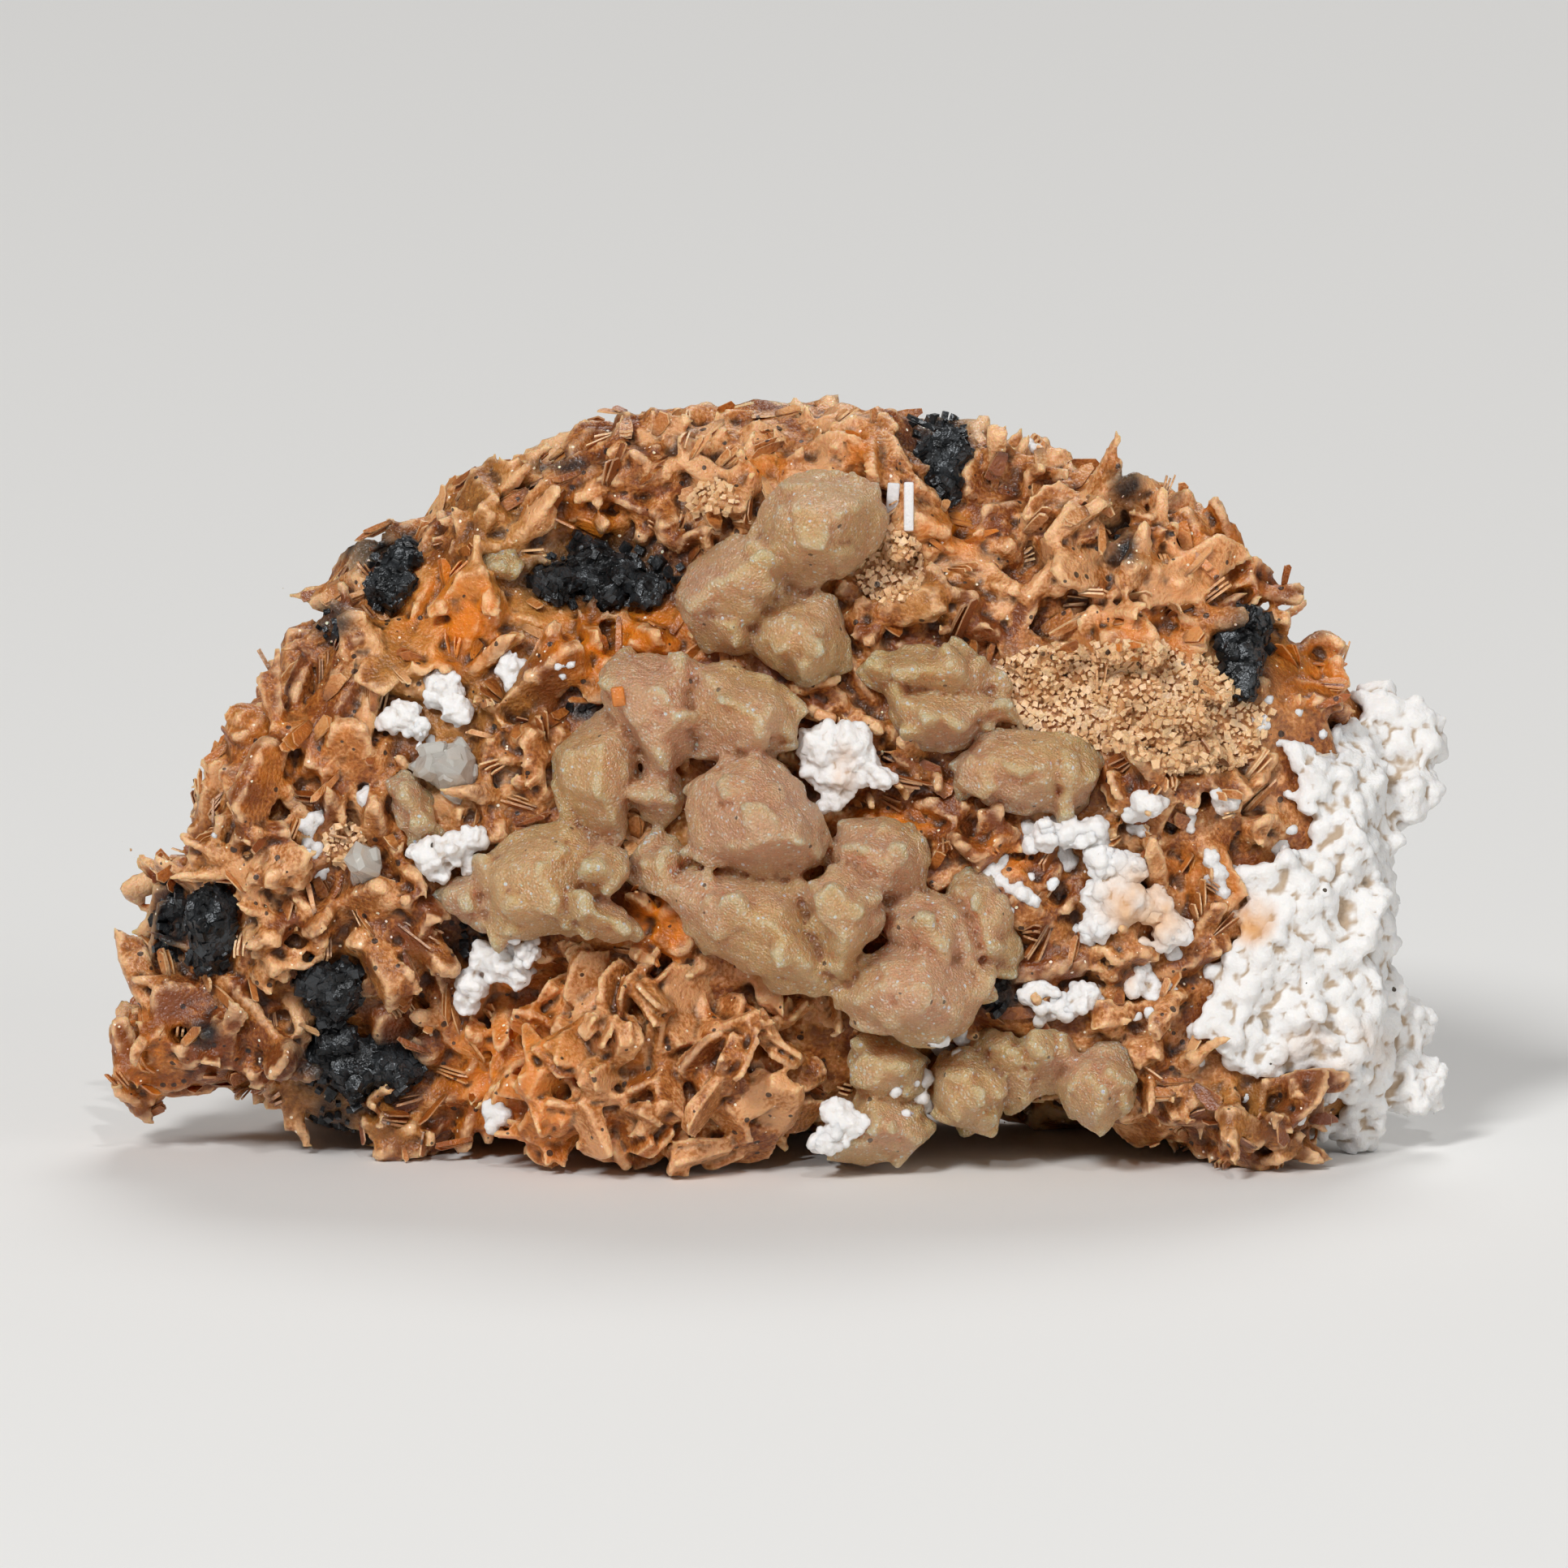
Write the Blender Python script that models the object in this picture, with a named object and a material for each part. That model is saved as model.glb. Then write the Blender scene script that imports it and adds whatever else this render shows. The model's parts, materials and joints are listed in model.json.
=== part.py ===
"""Barite with cerussite, a hand-sized mineral specimen that stands on its own base.

A half-moon of bladed barite rock carries frosted cerussite crystals on its front, a rosette of
larger barite blades at its foot, a white knobbly crust over its right end, small white puffs
and patches of black galena grains.

Places are read in the front view, in millimetres: across to the right of the middle, up from
the picture's lowest point, and toward the viewer from the middle of the rock. The front view
looks down on the standing specimen by LOOKS_DOWN_DEG, so every piece is made in that view's own
axes and turned with it onto the ground.
"""

import math
import random

import bmesh
import bpy
from mathutils import Matrix, Vector, geometry, noise
from mathutils.bvhtree import BVHTree

MM = 0.001

# The stance, which puts the middle of the specimen's footprint at the origin.
LOOKS_DOWN_DEG = 8.0
GROUND_LEVEL = 1.7
SHIFT_ACROSS = 0.44
SHIFT_BACK = -3.83

# The gap between two pieces that touch.
GAP = 0.3

# The exact solver leaves open edges where a grown cutter's faces cross each other.
SOLVER = "MANIFOLD"

# A cutter's corners move out by this many gaps, so that its faces move out by about one.
CUTTER_GROWTH = 1.35

# The rock: its outline from the front, and how far it swells to the front and the back.
ROCK_MIDDLE_UP = 22.0
ROCK_FRONT = 9.8
ROCK_BACK = 17.0
ROCK_FULLNESS = 0.62
ROCK_CORNERS = 200
ROCK_RIM_BAND = 0.12
ROCK_ROUGHNESS = 0.9
ROCK_GRAIN = 5.0
ROCK_OUTLINE = [
    (37.2, 22.0), (37.6, 26.0), (36.6, 29.6), (33.8, 32.4), (31.0, 34.4), (29.6, 37.0),
    (27.6, 39.6), (23.8, 42.2), (19.0, 44.2), (14.6, 45.4), (11.8, 45.2), (9.6, 46.8),
    (7.2, 48.4), (4.6, 48.2), (2.6, 46.8), (0.2, 48.6), (-2.4, 49.6), (-5.2, 48.4),
    (-8.0, 46.4), (-13.4, 44.6), (-19.2, 43.8), (-23.2, 41.6), (-26.8, 38.4), (-27.8, 35.8),
    (-30.0, 32.0), (-33.0, 27.4), (-36.0, 23.6), (-37.8, 19.6), (-38.8, 15.2), (-39.4, 10.6),
    (-37.6, 7.8), (-33.0, 5.6), (-29.2, 3.2), (-24.8, 2.2), (-18.4, 3.0), (-10.0, 3.6),
    (0.0, 4.2), (8.6, 5.0), (15.0, 6.2), (21.6, 5.0), (26.4, 1.6), (30.4, 2.4),
    (34.0, 3.2), (37.0, 4.4), (37.6, 10.0), (37.0, 16.0),
]

# Swells and hollows of the rock's front: across, up, radius, and how far it comes forward.
LANDFORMS = [
    (-10.8, 37.4, 4.2, -3.4),  # the dark pocket left of the tall crystals
    (-19.4, 9.5, 3.4, -5.0),  # the gap beside the rosette
    (-28.0, 7.5, 9.0, -5.5),  # the low left foot, set back
    (13.6, 12.0, 3.2, -4.5),  # the gap under the lower right crystals
    (2.0, 24.0, 3.0, -2.5),  # behind the middle puff
    (14.5, 36.0, 6.0, -1.0),
    (24.0, 29.5, 4.0, 1.6),  # the grainy knoll at the right
    (18.5, 31.5, 3.0, 1.0),
    (26.6, 3.4, 3.4, 2.4),  # the round lump under the crust
    (-30.0, 17.0, 6.0, 1.4),
]

# The heel is the back of the underside, which comes down to the ground and is broken flat.
HEEL_DROP = 6.0
HEEL_STARTS_BEHIND = 8.0
HEEL_FULL_BEHIND = 12.0

# How far the rock lies inside its outline, which the tips of its blades reach.
ROCK_INSET = 1.0

# Lumps that the rock's own outline leaves out, in the cerussite's form.
ROCK_LUMPS = [
    ([(-41.0, 6.6), (-40.4, 9.8), (-37.8, 11.0), (-35.4, 9.0), (-36.2, 6.8), (-38.8, 5.2)],
     -1.0, [(-38.6, 8.6, 1.2), (-37.0, 8.2, 1.4)], -7.0),
    ([(23.8, 5.2), (24.4, 2.8), (26.6, 1.4), (29.2, 1.5), (31.4, 3.0), (32.2, 5.2), (29.8, 7.0), (26.0, 7.0)],
     2.6, [(26.8, 3.8, 6.0), (28.8, 3.8, 6.0)], -4.0),
]

# Fans of barite blades all over the rock. A fan's blades part at VALLEY above the surface.
FAN_SEED = 11
FAN_SPACING = 5.9
FANS_AROUND = 28
FAN_SIZES = (1.0, 1.0, 0.85, 0.85, 0.7, 0.7, 0.55, 0.45)
FAN_BLADES = (3, 4)
FAN_SPREAD_DEG = (52.0, 98.0)
FAN_LEAN_DEG = 24.0
FAN_WIDTH = (4.0, 6.0)
FAN_NARROWS_TO = 0.7
BLADE_LENGTH = (4.2, 6.0)
BLADE_THICKNESS = (0.5, 0.9)
BLADE_BURIED = 2.6
VALLEY = 0.5

# The rosette at the foot: a core and the fans on it.
ROSETTE_MIDDLE = (-7.4, 7.4, 6.0)
ROSETTE_RADII = (8.6, 5.2, 4.6)
ROSETTE_SEED = 7
ROSETTE_CORNERS = 40
ROSETTE_FANS = 24
ROSETTE_LENGTH = (4.8, 6.6)
ROSETTE_WIDTH = (3.4, 5.6)
ROSETTE_THICKNESS = (0.5, 0.9)

# Cerussite. Each crystal has its outline from the front, the depth of its rim, its tips and the
# depth of its root in the rock.
CERUSSITE = {
    "cerussite_upper": [
        ([(-2.2, 38.4), (-1.9, 40.4), (-0.9, 42.3), (0.6, 43.5), (2.6, 43.7), (4.6, 43.2), (5.7, 42.2),
          (5.8, 40.4), (5.0, 38.5), (3.6, 37.3), (1.1, 36.5), (-0.9, 36.7)],
         11.0, [(3.4, 41.0, 16.2), (1.0, 39.4, 16.6), (0.6, 41.4, 15.8)], 4.0),
        ([(-6.5, 35.7), (-5.9, 37.8), (-3.2, 39.7), (-0.7, 39.9), (0.9, 37.9), (0.1, 36.2), (-1.9, 34.2),
          (-3.9, 33.2), (-5.9, 33.8)],
         10.6, [(-3.6, 36.9, 15.4), (-1.2, 37.9, 15.8)], 4.0),
        ([(-1.9, 34.9), (0.9, 36.4), (3.1, 35.9), (3.1, 34.7), (3.9, 32.9), (3.4, 31.4), (1.6, 30.8),
          (0.1, 31.0), (-1.4, 32.2), (-2.2, 33.4)],
         10.6, [(1.2, 33.7, 14.8), (1.6, 32.7, 14.6)], 4.0),
        ([(-5.9, 35.0), (-2.2, 35.4), (-1.3, 33.4), (-2.6, 32.7), (-5.2, 33.0)],
         10.0, [(-3.2, 34.2, 13.6)], 4.0),
        ([(-5.4, 40.9), (-4.6, 42.9), (-1.9, 44.2), (0.4, 43.9), (-0.9, 41.9), (-2.4, 40.4)],
         8.6, [(-2.6, 42.4, 11.8)], 4.0),
    ],
    "cerussite_middle": [
        ([(-11.3, 31.3), (-10.3, 32.4), (-8.2, 32.6), (-5.5, 32.0), (-5.2, 28.4), (-5.7, 26.2), (-7.8, 25.4),
          (-8.9, 27.2), (-9.6, 28.9), (-10.9, 29.5)],
         11.6, [(-8.0, 30.2, 15.2), (-6.6, 28.6, 15.2)], 4.0),
        ([(-5.7, 31.9), (-3.2, 31.8), (-0.9, 31.0), (0.5, 29.8), (0.8, 27.9), (-0.2, 26.7), (-2.4, 26.2),
          (-4.9, 26.2), (-5.9, 27.9)],
         12.2, [(-3.6, 29.8, 16.0), (-1.6, 28.6, 16.4)], 4.0),
        ([(-14.1, 26.7), (-11.4, 29.0), (-9.2, 29.2), (-8.9, 26.4), (-9.2, 24.2), (-10.0, 22.9),
          (-10.0, 21.4), (-11.7, 21.4), (-13.4, 22.5), (-14.1, 24.4)],
         10.2, [(-11.2, 26.9, 14.4), (-11.4, 24.4, 14.2)], 3.0),
        ([(-18.5, 27.9), (-15.9, 28.4), (-14.5, 26.7), (-14.1, 22.9), (-15.7, 22.3), (-17.3, 23.4),
          (-17.0, 25.9)],
         9.6, [(-16.0, 26.8, 12.6), (-15.4, 24.4, 12.4)], 3.0),
        ([(-9.3, 24.9), (-7.7, 25.9), (-6.2, 24.7), (-6.4, 22.7), (-7.4, 21.9), (-8.7, 22.4)],
         10.4, [(-7.7, 24.0, 12.8)], 4.0),
        ([(-9.2, 20.2), (-8.4, 21.2), (-6.9, 21.4), (-5.7, 20.4), (-5.8, 18.7), (-7.7, 17.7), (-8.8, 18.3)],
         10.4, [(-7.4, 19.8, 13.2), (-7.2, 19.0, 13.0)], 4.0),
        ([(-5.9, 22.3), (-5.6, 24.8), (-3.8, 26.1), (-1.7, 26.7), (-0.2, 25.9), (1.0, 24.0), (2.2, 22.3),
          (2.6, 20.7), (1.4, 19.6), (-0.9, 18.9), (-3.4, 19.6), (-5.8, 20.2)],
         13.6, [(-2.9, 24.2, 17.2), (0.6, 21.4, 18.2), (-2.0, 20.9, 18.2), (-2.4, 22.6, 18.6)], 4.0),
        ([(-7.1, 17.9), (-5.9, 19.3), (-3.2, 18.9), (-0.4, 19.2), (0.9, 18.4), (1.7, 15.4), (3.2, 12.9),
          (3.0, 11.8), (1.6, 11.6), (-0.4, 12.8), (-2.2, 13.4), (-4.3, 14.3), (-6.0, 15.5)],
         12.8, [(-3.4, 17.2, 16.8), (-0.6, 16.0, 17.2), (0.9, 13.6, 15.8)], 4.0),
        ([(1.2, 18.5), (3.4, 19.5), (5.9, 18.7), (5.6, 15.9), (4.6, 14.7), (3.9, 14.2), (3.4, 12.9),
          (2.6, 13.7), (1.8, 15.4)],
         14.2, [(2.9, 17.6, 18.0), (4.4, 17.0, 18.0), (3.4, 15.0, 16.8)], 4.0),
        ([(2.4, 20.4), (3.6, 22.3), (5.9, 22.5), (8.0, 21.4), (8.6, 19.9), (8.2, 18.0), (6.2, 17.4),
          (4.1, 18.4), (2.4, 19.0)],
         11.4, [(4.9, 20.6, 15.0), (6.9, 20.0, 14.8)], 4.0),
        ([(3.1, 11.4), (3.9, 13.4), (5.9, 14.7), (8.6, 15.4), (11.1, 13.9), (12.4, 12.4), (11.4, 10.2),
          (9.4, 8.7), (6.9, 9.2), (4.6, 9.8)],
         12.6, [(6.0, 12.4, 16.8), (8.4, 12.0, 17.4), (8.0, 10.8, 16.6)], 4.0),
        ([(5.9, 16.4), (7.1, 17.7), (9.1, 18.0), (10.9, 17.2), (11.6, 14.9), (11.1, 13.4), (8.6, 13.2),
          (6.4, 14.2)],
         11.6, [(8.2, 16.2, 15.8), (9.6, 15.0, 15.8)], 4.0),
        ([(9.9, 18.7), (11.1, 19.5), (12.6, 19.2), (13.7, 17.4), (14.4, 13.9), (13.2, 13.0), (11.6, 13.4),
          (10.4, 15.4)],
         9.8, [(11.6, 17.9, 13.6), (12.4, 14.6, 13.6)], 4.0),
        ([(-18.8, 19.2), (-16.4, 21.8), (-13.4, 22.5), (-11.5, 21.4), (-10.4, 19.2), (-11.2, 17.4),
          (-12.4, 15.7), (-15.4, 15.4), (-17.8, 14.9), (-18.4, 16.9)],
         10.2, [(-16.0, 19.4, 14.2), (-14.4, 20.0, 14.6), (-14.6, 17.6, 14.2)], 3.0),
        ([(-12.7, 20.0), (-11.2, 21.1), (-9.9, 20.4), (-9.7, 19.0), (-10.5, 17.9), (-11.8, 17.7)],
         11.8, [(-11.2, 19.5, 15.2)], 6.0),
        ([(-13.8, 18.2), (-11.7, 17.7), (-9.9, 17.0), (-9.0, 15.9), (-10.4, 15.3), (-12.4, 15.5),
          (-13.4, 16.6)],
         11.4, [(-12.2, 17.0, 14.8), (-10.8, 16.4, 14.6)], 6.0),
        ([(-20.9, 18.2), (-18.7, 19.2), (-17.9, 16.9), (-18.2, 15.7), (-19.9, 16.2)],
         8.6, [(-19.2, 17.6, 11.0)], 3.0),
    ],
    "cerussite_peak": [
        ([(4.1, 31.4), (5.4, 32.6), (8.1, 32.9), (11.1, 32.8), (12.4, 31.5), (12.2, 29.4), (9.1, 30.2),
          (6.1, 30.0)],
         10.0, [(7.4, 31.6, 13.6), (10.4, 31.4, 13.4)], 4.0),
        ([(6.0, 30.2), (9.1, 31.0), (11.9, 30.4), (12.2, 28.7), (10.9, 26.9), (8.9, 26.5), (7.2, 27.2),
          (6.5, 28.7)],
         10.2, [(8.2, 29.0, 14.2), (10.0, 28.6, 14.0)], 4.0),
        ([(7.9, 32.9), (7.7, 34.7), (8.7, 36.0), (9.5, 38.3), (10.7, 38.4), (11.9, 36.7), (12.9, 34.8),
          (12.4, 33.6), (10.6, 32.8)],
         8.8, [(10.2, 37.0, 11.6), (10.2, 34.6, 13.0)], 3.0),
        ([(11.9, 28.4), (12.4, 30.4), (13.4, 30.9), (14.4, 28.2)],
         9.6, [(13.1, 29.4, 12.2)], 4.0),
    ],
    "cerussite_right": [
        ([(10.1, 25.9), (11.9, 27.7), (13.6, 28.0), (16.6, 27.7), (18.1, 27.2), (16.8, 22.8), (14.1, 22.9),
          (12.9, 23.9), (11.4, 24.5), (10.4, 24.2)],
         10.4, [(12.6, 26.2, 13.8), (15.6, 25.6, 14.2)], 4.0),
        ([(16.1, 27.0), (18.4, 27.1), (19.4, 25.9), (19.1, 24.8), (18.4, 24.5), (18.0, 23.3), (16.4, 22.7)],
         9.8, [(17.4, 25.2, 13.4)], 4.0),
    ],
    "cerussite_lower_row": [
        ([(9.0, 7.4), (10.6, 8.5), (12.1, 8.4), (13.4, 5.9), (13.0, 4.3), (11.9, 3.4), (9.9, 4.0),
          (9.0, 5.4)],
         8.6, [(10.9, 6.6, 12.0), (11.6, 5.2, 11.8)], 2.0),
        ([(11.9, 9.2), (13.9, 10.4), (14.6, 8.4), (15.4, 5.9), (14.1, 4.6), (12.7, 5.4), (12.2, 7.9)],
         7.4, [(13.6, 8.4, 10.4)], 1.0),
        ([(14.3, 8.7), (15.4, 10.0), (17.1, 10.2), (17.9, 7.9), (16.6, 5.7), (15.1, 5.8), (14.4, 7.4)],
         7.8, [(15.8, 8.6, 11.0)], 1.0),
        ([(16.5, 6.4), (17.6, 8.2), (19.9, 8.4), (21.2, 6.9), (21.1, 5.2), (20.1, 4.0), (18.9, 3.4),
          (17.4, 4.3)],
         9.0, [(18.4, 6.8, 12.6), (19.4, 5.6, 12.6)], 2.0),
        ([(17.0, 7.9), (18.1, 9.8), (21.4, 9.7), (21.8, 7.0), (19.0, 6.0)],
         6.8, [(19.6, 8.4, 10.0)], 1.0),
        ([(21.2, 6.9), (21.7, 9.7), (23.1, 10.6), (24.3, 9.7), (24.7, 7.9), (24.3, 5.7), (22.6, 5.5)],
         7.6, [(22.9, 8.6, 11.0), (23.0, 7.0, 10.8)], 1.0),
    ],
    "cerussite_foot": [
        ([(4.0, 8.0), (4.6, 9.4), (6.9, 8.9), (8.6, 7.9), (8.5, 5.6), (6.1, 4.8), (4.6, 5.6)],
         8.8, [(6.4, 7.4, 12.0)], 2.0),
        ([(4.7, 6.2), (6.6, 6.4), (8.6, 5.2), (8.4, 3.0), (7.2, 1.7), (4.7, 1.3), (2.4, 1.6), (3.6, 3.4)],
         7.6, [(5.6, 4.2, 11.2), (6.6, 3.6, 11.0)], 2.0),
    ],
    "cerussite_prism": [
        ([(-24.5, 24.9), (-23.2, 25.4), (-21.7, 24.2), (-21.2, 21.4), (-21.9, 20.8), (-23.2, 21.4)],
         8.2, [(-23.0, 24.2, 10.6), (-22.2, 22.2, 10.6)], 4.0),
    ],
    "cerussite_glassy": [
        ([(-22.7, 25.4), (-21.9, 26.9), (-19.7, 27.2), (-18.9, 26.2), (-18.9, 24.0), (-20.4, 23.7),
          (-21.4, 24.7)],
         8.8, [(-21.2, 26.0, 11.0), (-19.8, 25.2, 11.2)], 4.0),
    ],
    "cerussite_button": [
        ([(-18.5, 37.9), (-17.9, 38.8), (-16.6, 39.1), (-16.1, 38.0), (-16.8, 36.8), (-18.0, 37.0)],
         6.8, [(-17.4, 38.2, 8.2), (-17.1, 37.6, 8.2)], 3.0),
    ],
    "cerussite_bead": [
        ([(-26.4, 18.9), (-26.2, 20.2), (-24.9, 20.3), (-24.7, 18.9), (-25.7, 18.3)],
         8.0, [(-25.6, 19.6, 9.6)], 4.0),
    ],
}
CRYSTAL_SHOULDER = 0.72

# White puffs. Each has its round lobes, as across, up and radius, and how far it stands off the rock.
PUFFS = {
    "puff_middle": ([(2.1, 26.9, 1.6), (3.9, 27.2, 1.6), (3.1, 25.2, 1.9), (4.6, 25.7, 1.5),
                     (5.8, 24.9, 0.95), (2.9, 23.6, 1.0), (1.7, 25.6, 1.1)], 3.0),
    "puff_upper_a": ([(-21.0, 30.5, 1.3), (-20.2, 29.2, 1.15), (-21.4, 29.9, 0.8), (-19.7, 28.8, 0.8)], 0.9),
    "puff_upper_b": ([(-23.2, 28.8, 1.2), (-24.2, 28.4, 1.0), (-22.3, 28.0, 0.8)], 0.8),
    "puff_upper_c": ([(-16.7, 31.8, 1.05), (-16.5, 30.8, 0.95)], 0.8),
    "puff_left_a": ([(-25.5, 23.7, 1.0)], 0.5),
    "puff_left_b": ([(-21.8, 20.3, 1.4), (-20.2, 20.7, 1.2), (-18.9, 21.3, 0.95), (-21.1, 19.3, 0.9),
                     (-19.2, 19.6, 0.8)], 1.4),
    "puff_left_c": ([(-24.4, 17.6, 0.9), (-23.3, 17.5, 0.85), (-22.1, 17.3, 0.7)], 0.7),
    "puff_rosette": ([(-18.4, 14.0, 1.2), (-17.2, 13.6, 1.4), (-19.2, 12.3, 1.3), (-19.5, 11.2, 1.0),
                      (-15.8, 14.4, 1.0), (-16.4, 12.8, 0.9)], 2.6),
    "puff_foot": ([(3.0, 4.7, 1.1), (3.7, 3.9, 1.2), (2.8, 3.0, 1.0), (2.1, 2.6, 0.7)], 0.0),
    "puff_right": ([(15.9, 21.4, 1.2), (17.4, 21.6, 1.1), (18.7, 21.6, 1.2), (19.3, 19.7, 1.3),
                    (18.9, 17.9, 1.1), (19.0, 16.0, 1.3), (21.0, 19.3, 1.3), (20.6, 17.4, 1.4),
                    (22.5, 16.9, 1.2), (23.4, 15.6, 1.3), (22.1, 20.9, 0.9), (21.4, 14.3, 1.0),
                    (22.4, 12.9, 1.1), (21.7, 11.7, 0.8)], 1.6),
    "puff_low_a": ([(14.9, 11.7, 0.9), (15.7, 12.1, 0.7)], 1.0),
    "puff_low_b": ([(17.2, 10.9, 1.0), (18.2, 11.6, 1.2)], 0.8),
}
PUFFS_BEFORE_THE_ROCK = {"puff_foot": 10.6}
KNOB_CORNERS = 12

# The white crust over the right end: its edge from the front, its knobs and its larger lobes.
CRUST_EDGE = [
    (24.5, 10.4), (24.8, 13.6), (26.6, 15.4), (27.2, 19.4), (29.2, 20.6), (31.2, 21.6), (29.8, 25.4),
    (29.4, 27.2), (31.8, 28.6), (34.6, 28.8), (36.0, 30.0), (38.4, 29.6), (40.2, 27.4), (39.4, 23.2),
    (38.0, 20.0), (37.8, 16.4), (39.0, 12.9), (39.4, 7.6), (39.6, 4.6), (38.6, 3.6), (35.6, 4.4),
    (32.6, 5.8), (29.6, 5.8), (27.0, 5.0), (25.2, 6.6),
]
CRUST_MIDDLE = (29.0, 16.0, -3.0)
CRUST_CORNERS = 440
CRUST_KNOBS = 110
CRUST_KNOB_RISE = (1.0, 2.0)
CRUST_THICKNESS = 0.9
CRUST_EDGE_FADES_OVER = 2.0
CRUST_BURIED = 4.0
CRUST_CORE = 0.7
CRUST_LOBES = [
    (35.0, 3.8, -0.5, 2.1), (38.5, 27.4, -1.5, 2.6), (38.2, 24.2, -0.5, 2.5), (36.6, 29.0, -1.0, 2.2),
    (32.0, 26.2, 3.4, 2.4), (32.6, 23.6, 3.8, 2.2), (38.4, 6.2, -1.6, 2.4), (38.2, 9.6, -2.4, 2.2),
]
CRUST_END_UP = (3.4, 30.0)
CRUST_END_BEHIND = -13.0
LOBE_CORNERS = 15

# Black galena grains: the patch's middle and size from the front, and the grains in it.
GALENA = {
    "galena_pocket": (-11.2, 37.0, 3.8, 1.6, 7),
    "galena_crest": (9.4, 43.8, 1.3, 1.5, 4),
    "galena_right": (27.6, 32.6, 1.2, 2.2, 4),
    "galena_left_edge": (-35.4, 15.8, 1.0, 2.2, 4),
    "galena_left": (-27.9, 12.2, 1.8, 1.3, 4),
    "galena_foot": (-26.6, 7.6, 3.6, 1.7, 7),
    "galena_shoulder": (-24.2, 37.4, 1.9, 1.2, 4),
}
GALENA_GRAIN = (1.5, 2.5)
GALENA_RISE = 0.3


def view_point(across, up, toward):
    """A place in the front view, in mm, as a point in that view's axes, in metres."""
    return Vector((across, -toward, up)) * MM


def stance():
    """Turns the front view's axes onto the ground."""
    onto_ground = Matrix.Translation(Vector((SHIFT_ACROSS, SHIFT_BACK, -GROUND_LEVEL)) * MM)
    return onto_ground @ Matrix.Rotation(math.radians(-LOOKS_DOWN_DEG), 4, "X")


def clear_scene():
    for obj in list(bpy.data.objects):
        bpy.data.objects.remove(obj)


def make_hull(bm):
    """Wraps the bmesh's points in their convex hull and drops the points inside it."""
    hull = bmesh.ops.convex_hull(bm, input=bm.verts)
    loose = [item for item in hull["geom_interior"] if isinstance(item, bmesh.types.BMVert)]
    bmesh.ops.delete(bm, geom=loose, context="VERTS")
    bmesh.ops.recalc_face_normals(bm, faces=bm.faces)


def shown(name, bm):
    """A new object, in its stance, that takes over the bmesh."""
    mesh = bpy.data.meshes.new(name)
    bmesh.ops.recalc_face_normals(bm, faces=bm.faces)
    bm.to_mesh(mesh)
    bm.free()
    obj = bpy.data.objects.new(name, mesh)
    obj.matrix_world = stance()
    bpy.context.scene.collection.objects.link(obj)
    return obj


def settle(obj):
    """Makes the object's modifiers part of its mesh."""
    graph = bpy.context.evaluated_depsgraph_get()
    mesh = bpy.data.meshes.new_from_object(obj.evaluated_get(graph), depsgraph=graph)
    obj.modifiers.clear()
    obj.data = mesh
    return obj


def keep_largest_body(obj):
    """Drops the chips that a cut leaves loose."""
    bm = bmesh.new()
    bm.from_mesh(obj.data)
    left = set(bm.faces)
    bodies = []
    while left:
        body, reached = set(), [left.pop()]
        while reached:
            face = reached.pop()
            body.add(face)
            near = {other for edge in face.edges for other in edge.link_faces} & left
            left -= near
            reached.extend(near)
        bodies.append(body)
    largest = max(bodies, key=len)
    chips = [face for body in bodies if body is not largest for face in body]
    bmesh.ops.delete(bm, geom=chips, context="FACES")
    bm.to_mesh(obj.data)
    bm.free()
    return obj


def fuse(name, shapes):
    """One object from several closed shapes that overlap."""
    first, others = shapes[0], shapes[1:]
    first.name = name
    if others:
        group = bpy.data.collections.new(name + "_parts")
        for other in others:
            group.objects.link(other)
        union = first.modifiers.new("union", "BOOLEAN")
        union.operation = "UNION"
        union.solver = SOLVER
        union.operand_type = "COLLECTION"
        union.collection = group
        settle(first)
        for other in others:
            bpy.data.objects.remove(other)
        bpy.data.collections.remove(group)
    return keep_largest_body(first)


def box_of(obj):
    """The object's lows and highs in the front view's axes."""
    places = [vert.co for vert in obj.data.vertices]
    return [(min(p[k] for p in places), max(p[k] for p in places)) for k in range(3)]


def boxes_meet(a, b):
    margin = 2 * GAP * MM
    return all(low_a - margin < high_b and low_b - margin < high_a
               for (low_a, high_a), (low_b, high_b) in zip(box_of(a), box_of(b)))


def cutter_for(obj, plain=False, grown=True):
    """A copy of the object that is larger by the gap. A plain one is its convex hull."""
    cutter = bpy.data.objects.new("cutter", obj.data.copy())
    cutter.matrix_world = stance()
    bpy.context.scene.collection.objects.link(cutter)
    if plain:
        bm = bmesh.new()
        for vert in obj.data.vertices:
            bm.verts.new(vert.co)
        make_hull(bm)
        bm.to_mesh(cutter.data)
        bm.free()
    grow = cutter.modifiers.new("grow", "DISPLACE")
    grow.strength = GAP * MM * CUTTER_GROWTH if grown else 0.0
    grow.mid_level = 0.0
    bpy.context.view_layer.update()
    settle(cutter)
    cutter.hide_render = True
    return cutter


def cut_by(obj, cutters):
    """Cuts the object back to leave the gap around each neighbour that it runs into."""
    near = [cutter for cutter in cutters if boxes_meet(obj, cutter)]
    if not near:
        return obj
    group = bpy.data.collections.new("cutters")
    for cutter in near:
        group.objects.link(cutter)
    cut = obj.modifiers.new("cut", "BOOLEAN")
    cut.operation = "DIFFERENCE"
    cut.solver = SOLVER
    cut.operand_type = "COLLECTION"
    cut.collection = group
    bpy.context.view_layer.update()
    settle(obj)
    bpy.data.collections.remove(group)
    return obj if not obj.data.polygons else keep_largest_body(obj)


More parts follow.
